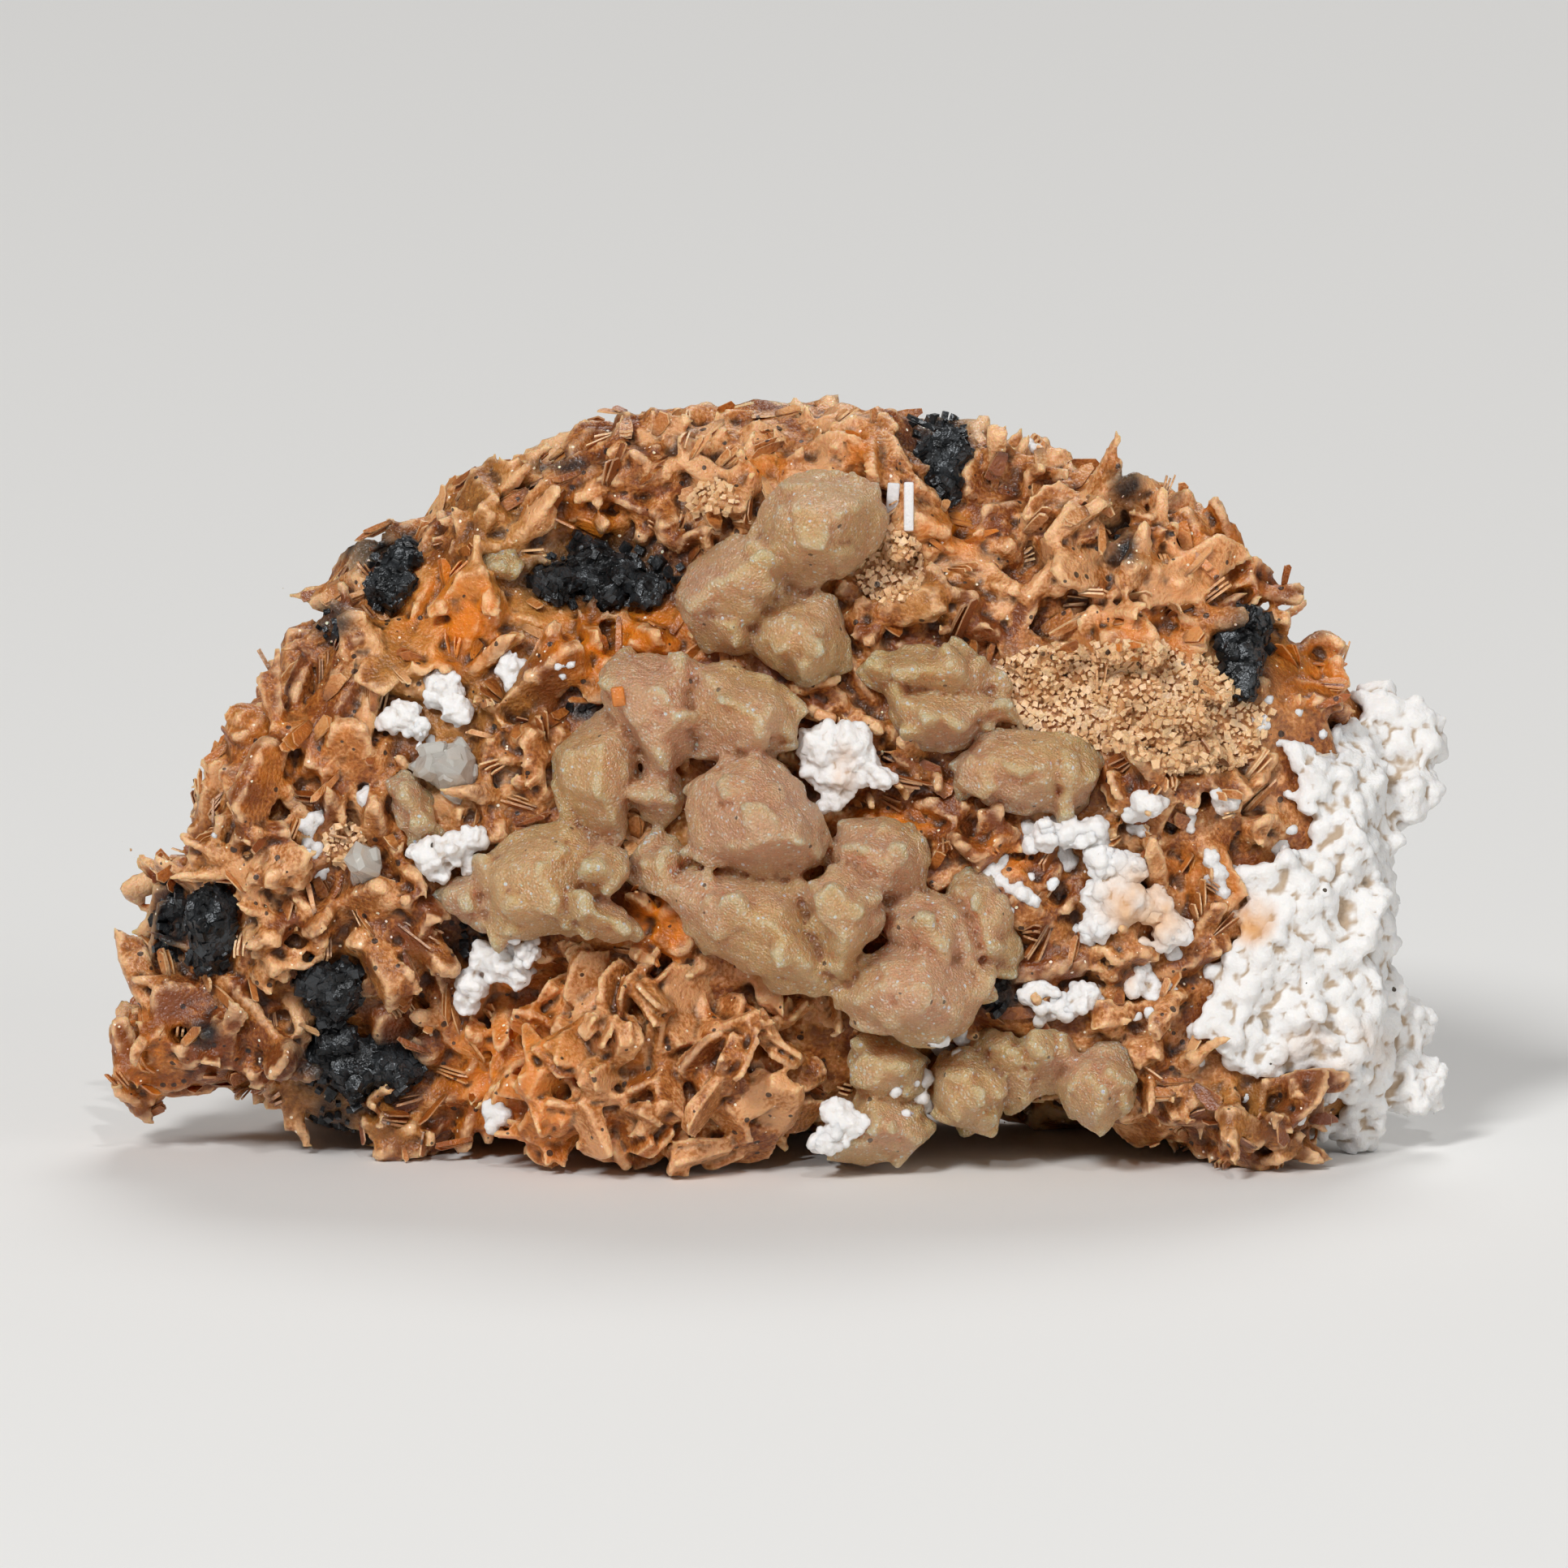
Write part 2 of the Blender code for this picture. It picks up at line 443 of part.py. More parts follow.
def ground_cutter():
    """A block below the ground."""
    bm = bmesh.new()
    bmesh.ops.create_cube(bm, size=0.2)
    bmesh.ops.transform(bm, matrix=stance().inverted() @ Matrix.Translation((0, 0, -0.1)), verts=bm.verts)
    block = shown("ground", bm)
    block.hide_render = True
    return block


def outline_reach(angle, outline, middle_up):
    """How far the outline is from the rock's middle in this direction of the front view."""
    polar = sorted((math.atan2(up - middle_up, across), math.hypot(across, up - middle_up))
                   for across, up in outline)
    polar = [(polar[-1][0] - math.tau, polar[-1][1])] + polar + [(polar[0][0] + math.tau, polar[0][1])]
    for (start, near), (end, far) in zip(polar, polar[1:]):
        if start <= angle <= end:
            share = (angle - start) / max(end - start, 1e-9)
            return near + (far - near) * share
    return polar[0][1]


def smooth_step(value, start, full):
    share = min(max((value - start) / (full - start), 0.0), 1.0)
    return share * share * (3 - 2 * share)


def soft_push(place):
    """A push that changes softly from place to place."""
    return Vector(noise.noise(place + Vector((shift, 0.0, 0.0))) for shift in (0.0, 31.7, 62.9))


def rock_point(direction):
    """Where a point of the unit sphere lies on the rock."""
    across, back, up = direction
    radius = math.hypot(across, up)
    angle = math.atan2(up, across)
    reach = (outline_reach(angle, ROCK_OUTLINE, ROCK_MIDDLE_UP) - ROCK_INSET) * radius
    place_across, place_up = reach * math.cos(angle), ROCK_MIDDLE_UP + reach * math.sin(angle)
    swell = (ROCK_BACK if back > 0 else ROCK_FRONT) * abs(back) ** ROCK_FULLNESS
    toward = math.copysign(swell, -back)
    if back < 0:
        for middle_across, middle_up, spread, rise in LANDFORMS:
            away = math.hypot(place_across - middle_across, place_up - middle_up) / spread
            toward += rise * math.exp(-away * away) * smooth_step(-back, 0.0, 0.35)
    lowness = smooth_step(ROCK_MIDDLE_UP - place_up, 6.0, 14.0)
    place_up -= HEEL_DROP * lowness * smooth_step(-toward, HEEL_STARTS_BEHIND, HEEL_FULL_BEHIND)
    rough = soft_push(Vector((place_across, toward, place_up)) / ROCK_GRAIN) * ROCK_ROUGHNESS
    return view_point(place_across + rough.x, place_up + rough.z, toward + rough.y)


def even_directions(count):
    """Directions spread evenly over a sphere."""
    golden = math.pi * (3 - math.sqrt(5))
    for number in range(count):
        height = 1 - 2 * (number + 0.5) / count
        flat = math.sqrt(1 - height * height)
        yield Vector((math.cos(golden * number) * flat, math.sin(golden * number) * flat, height))


def even_ball(corners):
    """A bmesh of the unit sphere with evenly spread corners."""
    bm = bmesh.new()
    for direction in even_directions(corners):
        bm.verts.new(direction)
    make_hull(bm)
    return bm


def rock_shapes():
    """The bare rock and the lumps that its outline leaves out."""
    bm = bmesh.new()
    for direction in even_directions(ROCK_CORNERS):
        if abs(direction.y) > ROCK_RIM_BAND:
            bm.verts.new(direction)
    for across, up in ROCK_OUTLINE:
        bm.verts.new(Vector((across, 0.0, up - ROCK_MIDDLE_UP)).normalized())
    make_hull(bm)
    for vert in bm.verts:
        vert.co = rock_point(vert.co)
    return [shown("rock", bm)] + [crystal(*facts) for facts in ROCK_LUMPS]


def tree_of(obj):
    """Finds places on the object's surface, in the front view's axes."""
    bm = bmesh.new()
    bm.from_mesh(obj.data)
    tree = BVHTree.FromBMesh(bm)
    bm.free()
    return tree


def surface_toward(tree, across, up, off_edge=-2.0):
    """How far toward the viewer the rock's surface is at this place of the front view."""
    place = tree.ray_cast(view_point(across, up, 60.0), Vector((0, 1, 0)))[0]
    return off_edge if place is None else -place.y / MM


def crystal(outline, rim, tips, root):
    """A convex crystal: its rim, a shoulder between the rim and the tips, and its root."""
    middle = Vector((sum(p[0] for p in outline), sum(p[1] for p in outline))) / len(outline)
    shoulder = rim + (min(tip[2] for tip in tips) - rim) * 0.62
    rings = [(1.0, rim, outline), (CRYSTAL_SHOULDER, shoulder, outline[::3]), (0.85, root, outline[1::2])]
    bm = bmesh.new()
    for share, toward, points in rings:
        for point in points:
            across, up = middle + (Vector(point) - middle) * share
            bm.verts.new(view_point(across, up, toward))
    for across, up, toward in tips:
        bm.verts.new(view_point(across, up, toward))
    make_hull(bm)
    return shown("crystal", bm)


def turned_point(turn, out, aside):
    """A place this far out along a blade's line and to its side, across and up from the hinge."""
    return out * math.sin(turn) + aside * math.cos(turn), out * math.cos(turn) - aside * math.sin(turn)


def fan_profile(rng, blades, spread, length, thickness):
    """The outline of a fan, seen along its hinge: across it and up from the hinge, in mm."""
    step = math.radians(spread) / (blades - 1)
    turns = [step * (number - (blades - 1) / 2 + rng.uniform(-0.1, 0.1)) for number in range(blades)]
    halves = [rng.uniform(*thickness) / 2 for _ in range(blades)]
    profile = [(-0.6, 0.0)]
    for number, (turn, half) in enumerate(zip(turns, halves)):
        reach = rng.uniform(*length)
        profile += [turned_point(turn, reach, -half), turned_point(turn, reach, half)]
        if number < blades - 1:
            half_angle = (turns[number + 1] - turn) / 2
            sides_meet = (half + halves[number + 1]) / 2 / math.sin(half_angle)
            aside = (half - halves[number + 1]) / 2 / math.cos(half_angle)
            profile.append(turned_point(turn + half_angle, max(sides_meet, BLADE_BURIED + VALLEY), aside))
    return profile + [(0.6, 0.0)]


def fan(rng, place, normal, length, width, thickness, size=1.0):
    """Blades that spread from one line in the rock, like the pages of an open book."""
    hinge = normal.orthogonal().normalized()
    hinge.rotate(Matrix.Rotation(rng.uniform(0, math.tau), 3, normal))
    out = Matrix.Rotation(math.radians(rng.uniform(-FAN_LEAN_DEG, FAN_LEAN_DEG)), 3, hinge) @ normal
    side = out.cross(hinge).normalized()
    profile = fan_profile(rng, rng.randint(*FAN_BLADES), rng.uniform(*FAN_SPREAD_DEG), length, thickness)
    root = place - out * BLADE_BURIED * size * MM
    half = rng.uniform(*width) / 2
    bm = bmesh.new()
    ends = []
    for way in (-1, 1):
        ring = []
        for across, up in profile:
            along = way * half * (1 - (1 - FAN_NARROWS_TO) * up / length[1])
            ring.append(bm.verts.new(root + (side * across + out * up + hinge * along) * size * MM))
        ends.append(ring)
        bm.faces.new(ring)
    for number in range(len(profile)):
        after = (number + 1) % len(profile)
        bm.faces.new([ends[0][number], ends[0][after], ends[1][after], ends[1][number]])
    bmesh.ops.triangulate(bm, faces=bm.faces)
    return shown("fan", bm)


def fan_places(tree):
    """Where the rock's fans grow: in rows over its front, and all round its rim and back."""
    rows = int(46 / FAN_SPACING)
    for row in range(rows + 1):
        for column in range(-8, 9):
            across = (column + 0.5 * (row % 2)) * FAN_SPACING
            start = view_point(across, 3.0 + row * FAN_SPACING, 60.0)
            place, normal, _, _ = tree.ray_cast(start, Vector((0, 1, 0)))
            if place is not None and normal.y < -0.45:
                yield place, normal
    middle = view_point(0.0, ROCK_MIDDLE_UP, -4.0)
    for direction in even_directions(FANS_AROUND):
        stretched = Vector((direction.x * 2.0, direction.y * 0.8, direction.z * 1.2)).normalized()
        place, normal, _, _ = tree.ray_cast(middle, stretched)
        if place is not None and normal.y > -0.45 and normal.z > -0.6:
            yield place, normal


def meets(shape, own_tree, other):
    """Whether the shape crosses the other's surface or lies inside it."""
    if own_tree.overlap(other):
        return True
    normal = other.ray_cast(shape.data.vertices[1].co, Vector((0, 0, 1)))[1]
    return normal is not None and normal.z > 0


def matrix_rock(body, tree, neighbours):
    """The rock with its fans, each as large as the pieces around it leave room for."""
    rng = random.Random(FAN_SEED)
    shapes = [body]
    taken = [tree_of(neighbour) for neighbour in neighbours]
    for place, normal in fan_places(tree):
        for size in FAN_SIZES:
            shape = fan(rng, place, normal, BLADE_LENGTH, FAN_WIDTH, BLADE_THICKNESS, size)
            own_tree = tree_of(shape)
            if not any(meets(shape, own_tree, other) for other in taken):
                shapes.append(shape)
                break
            bpy.data.objects.remove(shape)
    return fuse("barite_matrix", shapes)


def rosette_shapes():
    """A core and its fans, the rounded clump of larger blades at the foot of the specimen."""
    rng = random.Random(ROSETTE_SEED)
    middle = view_point(*ROSETTE_MIDDLE)
    radii = Vector((ROSETTE_RADII[0], ROSETTE_RADII[2], ROSETTE_RADII[1])) * MM
    bm = even_ball(ROSETTE_CORNERS)
    core = Matrix.Translation(middle) @ Matrix.Diagonal((*radii, 1.0))
    bmesh.ops.transform(bm, matrix=core, verts=bm.verts)
    shapes = [shown("core", bm)]
    for direction in even_directions(ROSETTE_FANS):
        if direction.y > 0.1:
            continue
        place = middle + Vector(a * b for a, b in zip(direction, radii))
        normal = Vector(a / b for a, b in zip(direction, radii)).normalized()
        shapes.append(fan(rng, place, normal, ROSETTE_LENGTH, ROSETTE_WIDTH, ROSETTE_THICKNESS))
    return shapes


def inside(place, edge):
    """Whether a place of the front view is inside this edge."""
    across, up = place
    crossings = 0
    for (a, b), (c, d) in zip(edge, edge[1:] + edge[:1]):
        if (b > up) != (d > up) and across < a + (up - b) * (c - a) / (d - b):
            crossings += 1
    return crossings % 2 == 1


def knob_balls(name, balls, corners=KNOB_CORNERS):
    """Round knobs, each turned its own way."""
    rng = random.Random(name)
    shapes = []
    for place, radius in balls:
        turn = Matrix.Rotation(rng.uniform(0, math.tau), 4, Vector([rng.uniform(-1, 1) for _ in range(3)]))
        bm = even_ball(corners)
        size = Matrix.Scale(radius * MM, 4)
        bmesh.ops.transform(bm, matrix=Matrix.Translation(place) @ turn @ size, verts=bm.verts)
        shapes.append(shown("ball", bm))
    return shapes


def puff(name, lobes, rise, tree):
    balls = []
    for across, up, radius in lobes:
        toward = PUFFS_BEFORE_THE_ROCK.get(name) or surface_toward(tree, across, up) + rise
        balls.append((view_point(across, up, toward), radius))
    return knob_balls(name, balls)


def edge_depth(across, up, edge):
    """How far a place is inside the edge, or less than zero outside it."""
    place = Vector((across, up))
    away = math.inf
    for start, end in zip(edge, edge[1:] + edge[:1]):
        start, end = Vector(start), Vector(end)
        share = geometry.intersect_point_line(place, start, end)[1]
        away = min(away, (place - start.lerp(end, min(max(share, 0.0), 1.0))).length)
    return away if inside((across, up), edge) else -away


def crust_depth(place, normal):
    """How far a place on the rock is inside the crusted part of it."""
    across, toward, up = place.x / MM, -place.y / MM, place.z / MM
    if normal.y < -0.25:
        return edge_depth(across, up, CRUST_EDGE)
    low, high = CRUST_END_UP
    return min(up - low, high - up, toward - CRUST_END_BEHIND, across - 26.0)


def crust(tree):
    """A knobbly skin over the rock's right end. Past its edge it dives into the rock."""
    rng = random.Random(3)
    knobs = [(direction, rng.uniform(*CRUST_KNOB_RISE)) for direction in even_directions(CRUST_KNOBS)]
    knob_angle = 2.0 / math.sqrt(CRUST_KNOBS)
    middle = view_point(*CRUST_MIDDLE)
    bm = even_ball(CRUST_CORNERS)
    for vert in bm.verts:
        direction = vert.co.normalized()
        place, normal, _, distance = tree.ray_cast(middle, direction)
        share = smooth_step(crust_depth(place, normal), -CRUST_EDGE_FADES_OVER / 2, CRUST_EDGE_FADES_OVER / 2)
        bump = max(rise * max(0.0, 1 - (direction.angle(knob) / knob_angle) ** 2) for knob, rise in knobs)
        outer = distance + (CRUST_THICKNESS + bump) * MM
        inner = min(distance - CRUST_BURIED * MM, distance * CRUST_CORE)
        vert.co = middle + direction * (outer * share + inner * (1 - share))
    lobes = [(view_point(across, up, toward), radius) for across, up, toward, radius in CRUST_LOBES]
    return [shown("crust", bm)] + knob_balls("white_crust", lobes, LOBE_CORNERS)


def galena_grains(name, across, up, half_width, half_height, count, tree):
    """A patch of small cubes that have grown into each other."""
    rng = random.Random(name)
    shapes = []
    for number in range(count):
        turn, reach = number * 2.4, math.sqrt((number + 0.3) / count)
        place_across = across + half_width * reach * math.cos(turn)
        place_up = up + half_height * reach * math.sin(turn)
        side = rng.uniform(*GALENA_GRAIN)
        toward = surface_toward(tree, place_across, place_up, off_edge=-4.0)
        bm = bmesh.new()
        bmesh.ops.create_cube(bm, size=side * MM)
        spin = Matrix.Rotation(rng.uniform(0, math.tau), 4, Vector([rng.uniform(-1, 1) for _ in range(3)]))
        shift = Matrix.Translation(view_point(place_across, place_up, toward + GALENA_RISE * side))
        bmesh.ops.transform(bm, matrix=shift @ spin, verts=bm.verts)
        shapes.append(shown("grain", bm))
    return shapes


def finish(obj, colour, roughness, metallic=0.0, transmission=0.0):
    """Gives the object its own Principled material."""
    material = bpy.data.materials.new(obj.name)
    material.use_nodes = True
    shader = material.node_tree.nodes["Principled BSDF"]
    shader.inputs["Base Color"].default_value = (*colour, 1.0)
    shader.inputs["Roughness"].default_value = roughness
    shader.inputs["Metallic"].default_value = metallic
    shader.inputs["Transmission Weight"].default_value = transmission
    obj.data.materials.clear()
    obj.data.materials.append(material)


def build():
    clear_scene()
    shapes = rock_shapes()
    cutters = [ground_cutter()]
    for shape in shapes:
        cutters += [cutter_for(shape), cutter_for(shape, grown=False)]
    moulds = []
    body = fuse("barite_matrix", shapes)
    tree = tree_of(body)

    def add(name, shapes, colour, roughness, plain_mould=False, **more):
        """Fuses the shapes into a piece, cuts it clear of what is there and keeps its own mould."""
        own = [] if plain_mould else [cutter_for(shape) for shape in shapes]
        piece = fuse(name, shapes)
        own = own or [cutter_for(piece, plain=True)]
        cut_by(piece, cutters + moulds)
        moulds.extend(own)
        finish(piece, colour, roughness, **more)

    for name, crystals in CERUSSITE.items():
        clear = name in ("cerussite_glassy", "cerussite_bead")
        add(name, [crystal(*facts) for facts in crystals],
            (0.60, 0.45, 0.32) if not clear else (0.85, 0.78, 0.66), 0.45,
            transmission=0.6 if clear else 0.2)
    for name, (lobes, rise) in PUFFS.items():
        add(name, puff(name, lobes, rise, tree), (0.88, 0.86, 0.84), 0.8, plain_mould=name != "puff_right")
    add("white_crust", crust(tree), (0.88, 0.86, 0.86), 0.8)
    add("barite_rosette", rosette_shapes(), (0.72, 0.47, 0.30), 0.5)
    for name, facts in GALENA.items():
        add(name, galena_grains(name, *facts, tree), (0.03, 0.035, 0.04), 0.4, plain_mould=True, metallic=0.4)
    rough_rock = cut_by(matrix_rock(body, tree, moulds), cutters[:1])
    finish(rough_rock, (0.60, 0.37, 0.22), 0.6)
    for cutter in cutters + moulds:
        bpy.data.objects.remove(cutter)


build()
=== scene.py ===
import json
import math
import random

import bmesh
import bpy
import numpy as np
from mathutils import Matrix, Vector, noise
from mathutils.bvhtree import BVHTree

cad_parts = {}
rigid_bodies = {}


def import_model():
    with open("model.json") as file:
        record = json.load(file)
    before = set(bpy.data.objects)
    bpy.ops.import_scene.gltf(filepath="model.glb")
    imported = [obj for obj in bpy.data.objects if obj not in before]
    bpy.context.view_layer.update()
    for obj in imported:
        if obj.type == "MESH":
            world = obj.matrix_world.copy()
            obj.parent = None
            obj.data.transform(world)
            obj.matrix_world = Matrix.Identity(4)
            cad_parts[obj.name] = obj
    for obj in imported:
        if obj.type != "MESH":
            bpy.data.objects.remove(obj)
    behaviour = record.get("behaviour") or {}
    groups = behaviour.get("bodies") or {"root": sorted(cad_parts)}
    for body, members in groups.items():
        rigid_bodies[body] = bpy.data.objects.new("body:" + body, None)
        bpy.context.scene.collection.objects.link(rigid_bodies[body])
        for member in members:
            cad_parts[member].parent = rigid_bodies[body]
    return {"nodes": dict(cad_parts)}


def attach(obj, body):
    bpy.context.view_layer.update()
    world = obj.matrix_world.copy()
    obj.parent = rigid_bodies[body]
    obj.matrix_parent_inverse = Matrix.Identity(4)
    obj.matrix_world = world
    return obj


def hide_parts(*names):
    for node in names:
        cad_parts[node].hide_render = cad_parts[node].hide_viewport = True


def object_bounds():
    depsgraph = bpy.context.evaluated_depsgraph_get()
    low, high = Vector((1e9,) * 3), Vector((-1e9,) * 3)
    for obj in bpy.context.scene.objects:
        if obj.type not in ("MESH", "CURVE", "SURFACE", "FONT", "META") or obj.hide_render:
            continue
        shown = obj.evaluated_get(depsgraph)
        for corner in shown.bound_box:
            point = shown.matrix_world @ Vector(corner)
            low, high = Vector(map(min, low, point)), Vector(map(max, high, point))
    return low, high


for obj in list(bpy.data.objects):
    bpy.data.objects.remove(obj)
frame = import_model()
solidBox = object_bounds()
mm = 0.001

# The photograph's view, which looks down a little. Lengths are in mm unless a line says otherwise.
photoView = {
    "frame": 1932.0,  # pixels each way
    "pixelsPerMm": 20.0,
    "middle": 968.0,  # the pixel column and row of the view's zero
    "ground": 1458.0,
    "looksDown": math.radians(8.0),
    "shift": (0.44, -3.83, -1.7),  # from the view's zero to the world's
    "frontEnds": -9.0,  # places less far toward the viewer than this aren't seen
    "before": 60.0,  # where sight lines start, well before the specimen
    "distance": 900.0,
    "sensor": 36.0,
}
viewCos, viewSin = math.cos(photoView["looksDown"]), math.sin(photoView["looksDown"])
towardViewer = Vector((0.0, -viewCos, viewSin))
viewUp = Vector((0.0, viewSin, viewCos))


def acrossUp(px, py):
    # a pixel of the photograph as mm across and up in its view
    return ((px - photoView["middle"]) / photoView["pixelsPerMm"],
            (photoView["ground"] - py) / photoView["pixelsPerMm"])


def viewPlace(across, up, toward=0.0):
    # mm in the photograph's view as a place in metres
    shift = photoView["shift"]
    return Vector((across + shift[0],
                   -toward * viewCos + up * viewSin + shift[1],
                   toward * viewSin + up * viewCos + shift[2])) * mm


def viewAxes(places):
    # places in metres as across, up and toward in mm
    moved = np.asarray(places, float).reshape(-1, 3) / mm - np.array(photoView["shift"])
    across = moved[:, 0]
    up = moved[:, 1] * viewSin + moved[:, 2] * viewCos
    toward = -moved[:, 1] * viewCos + moved[:, 2] * viewSin
    return across, up, toward


def spotShare(places, spots, fade=0.45):
    # how strongly each place lies in the named spots, which are pixel, pixel, radius, radius, strength
    across, up, toward = viewAxes(places)
    share = np.zeros(len(across))
    for px, py, wide, high, strength in spots:
        u, v = acrossUp(px, py)
        away = np.hypot((across - u) / (wide / photoView["pixelsPerMm"]),
                        (up - v) / (high / photoView["pixelsPerMm"]))
        share = np.maximum(share, strength * np.clip((1.0 + fade - away) / (2 * fade), 0.0, 1.0))
    return share * (toward > photoView["frontEnds"])


def roughShare(places, size, seed=0.0):
    # smooth random values between -1 and 1, over size in mm
    scaled = np.asarray(places, float).reshape(-1, 3) / (size * mm) + seed
    return np.array([noise.noise(place) for place in scaled.tolist()])


def bumpShare(places, size):
    # rounded bumps, 1 at their tops and about 0 in the creases between them, size mm apart
    scaled = np.asarray(places, float).reshape(-1, 3) / (size * mm)
    near = np.array([noise.voronoi(place, distance_metric="DISTANCE")[0][0] for place in scaled.tolist()])
    return np.clip(1.0 - near ** 2 * 1.6, 0.0, 1.0)


print("helpers for meshes")


def newObject(name, data):
    obj = bpy.data.objects.new(name, data)
    bpy.context.scene.collection.objects.link(obj)
    return obj


def fromBmesh(name, bm):
    mesh = bpy.data.meshes.new(name)
    bm.to_mesh(mesh)
    bm.free()
    return mesh


def bmeshOf(*meshes):
    bm = bmesh.new()
    for mesh in meshes:
        bm.from_mesh(mesh)
    return bm


def mergedSolid(node):
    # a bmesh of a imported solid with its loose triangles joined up
    bm = bmeshOf(frame["nodes"][node].data)
    bmesh.ops.remove_doubles(bm, verts=bm.verts, dist=1e-6)
    return bm


def settled(obj):
    # the object's modifiers become part of its mesh
    graph = bpy.context.evaluated_depsgraph_get()
    mesh = bpy.data.meshes.new_from_object(obj.evaluated_get(graph), depsgraph=graph)
    obj.modifiers.clear()
    obj.data = mesh
    return obj


def remeshed(name, bm, voxel):
    # one closed skin over everything in the bmesh
    obj = newObject(name, fromBmesh(name, bm))
    skin = obj.modifiers.new("skin", "REMESH")
    skin.mode = "VOXEL"
    skin.voxel_size = voxel * mm
    return settled(obj)


def cornersOf(mesh):
    co = np.zeros(len(mesh.vertices) * 3, np.float32)
    mesh.vertices.foreach_get("co", co)
    return co.reshape(-1, 3).astype(float)


def normalsOf(mesh):
    found = np.zeros(len(mesh.vertices) * 3, np.float32)
    mesh.vertex_normals.foreach_get("vector", found)
    return found.reshape(-1, 3).astype(float)


def placeCorners(mesh, co, margin=0.02 * mm):
    # the corners are kept inside the solids' box
    low, high = np.array(solidBox[0]) + margin, np.array(solidBox[1]) - margin
    low[2] = 0.0
    mesh.vertices.foreach_set("co", np.clip(co, low, high).astype(np.float32).ravel())
    mesh.update()


def neighbourMean(mesh, values):
    # each corner's value averaged over the corners that it shares an edge with
    ends = np.zeros(len(mesh.edges) * 2, np.int32)
    mesh.edges.foreach_get("vertices", ends)
    a, b = ends.reshape(-1, 2).T
    count = np.bincount(a, minlength=len(values)) + np.bincount(b, minlength=len(values))
    columns = []
    for column in values.reshape(len(values), -1).T:
        total = np.bincount(a, column[b], len(values)) + np.bincount(b, column[a], len(values))
        columns.append(total / np.maximum(count, 1))
    return np.stack(columns, 1).reshape(values.shape)


def smoothed(mesh, rounds, share=0.5):
    co = cornersOf(mesh)
    for _ in range(rounds):
        co = co * (1 - share) + neighbourMean(mesh, co) * share
    placeCorners(mesh, co)


def pushed(mesh, swell):
    # the corners move out by the swell in mm
    placeCorners(mesh, cornersOf(mesh) + normalsOf(mesh) * (swell * mm)[:, None])


def addValue(mesh, name, values, domain="POINT"):
    layer = mesh.attributes.new(name, "FLOAT", domain)
    layer.data.foreach_set("value", np.asarray(values, np.float32))


def roughened(mesh, look):
    # noise of several sizes pushes the corners in and out, but leaves the foot flat
    co = cornersOf(mesh)
    rough = sum(share * roughShare(co, look["roughOver"] / finer, seed)
                for share, finer, seed in look["octaves"])
    rough *= np.clip(co[:, 2] / (look["flatBelow"] * mm) - 1.0, 0.0, 1.0)
    pushed(mesh, rough * look["rough"])


def addRidge(mesh, rounds, scale, name="ridge"):
    # 1 on ridges and 0 in hollows, for painted highlights on the edges and painted shade in the hollows;
    # scale is their height
    co, normals = cornersOf(mesh), normalsOf(mesh)
    mean = co
    for _ in range(rounds):
        mean = neighbourMean(mesh, mean)
    stands = np.einsum("ij,ij->i", co - mean, normals) / (scale * mm)
    addValue(mesh, name, np.clip(0.5 + 0.5 * stands, 0.0, 1.0))


def cutBehind(bm, planes, sunk=0.0):
    # keeps the part behind each plane, closed again
    for place, normal in planes:
        place = Vector(place) - Vector(normal) * sunk
        bmesh.ops.bisect_plane(bm, geom=bm.verts[:] + bm.edges[:] + bm.faces[:], plane_co=place * mm,
                               plane_no=normal, clear_outer=True)
        bmesh.ops.holes_fill(bm, edges=[edge for edge in bm.edges if edge.is_boundary], sides=0)
    return bm


def takeValues(mesh, stamped, reach, plain):
    # each corner takes the values of the stamped face beside it, or else the plain ones
    tree = treeOf(stamped)
    first = np.array([face.vertices[0] for face in stamped.polygons])
    found = [tree.find_nearest(place, reach * mm)[2] for place in cornersOf(mesh).tolist()]
    far = np.array([index is None for index in found])
    corner = first[np.array([0 if index is None else index for index in found])]
    for name, own in plain.items():
        values = np.zeros(len(stamped.vertices), np.float32)
        stamped.attributes[name].data.foreach_get("value", values)
        addValue(mesh, name, np.where(far, own, values[corner]))


def treeOf(*meshes):
    # finds places on the meshes
    bm = bmeshOf(*meshes)
    tree = BVHTree.FromBMesh(bm)
    bm.free()
    return tree


def treeOfNodes(names):
    return treeOf(*(frame["nodes"][name].data for name in names))


def splitSolid(node):
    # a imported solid's bmesh, and its surface in small faces to scatter things on
    bm = mergedSolid(node)
    plain = bm.copy()
    bmesh.ops.subdivide_edges(plain, edges=plain.edges, cuts=3, use_grid_fill=True)
    bmesh.ops.triangulate(plain, faces=plain.faces)
    return bm, fromBmesh("surface", plain)


def anySide(rng, normal):
    # a random direction square to the normal
    across = normal.orthogonal().normalized()
    return Matrix.Rotation(rng.uniform(0.0, 2 * math.pi), 3, normal) @ across


scatter = {
    "tries": 7,  # faces tried for each place that would fit
    "atLeast": 20,
    "backStarts": 3.0,
    "shifted": 0.45,  # of the spacing, at most
}


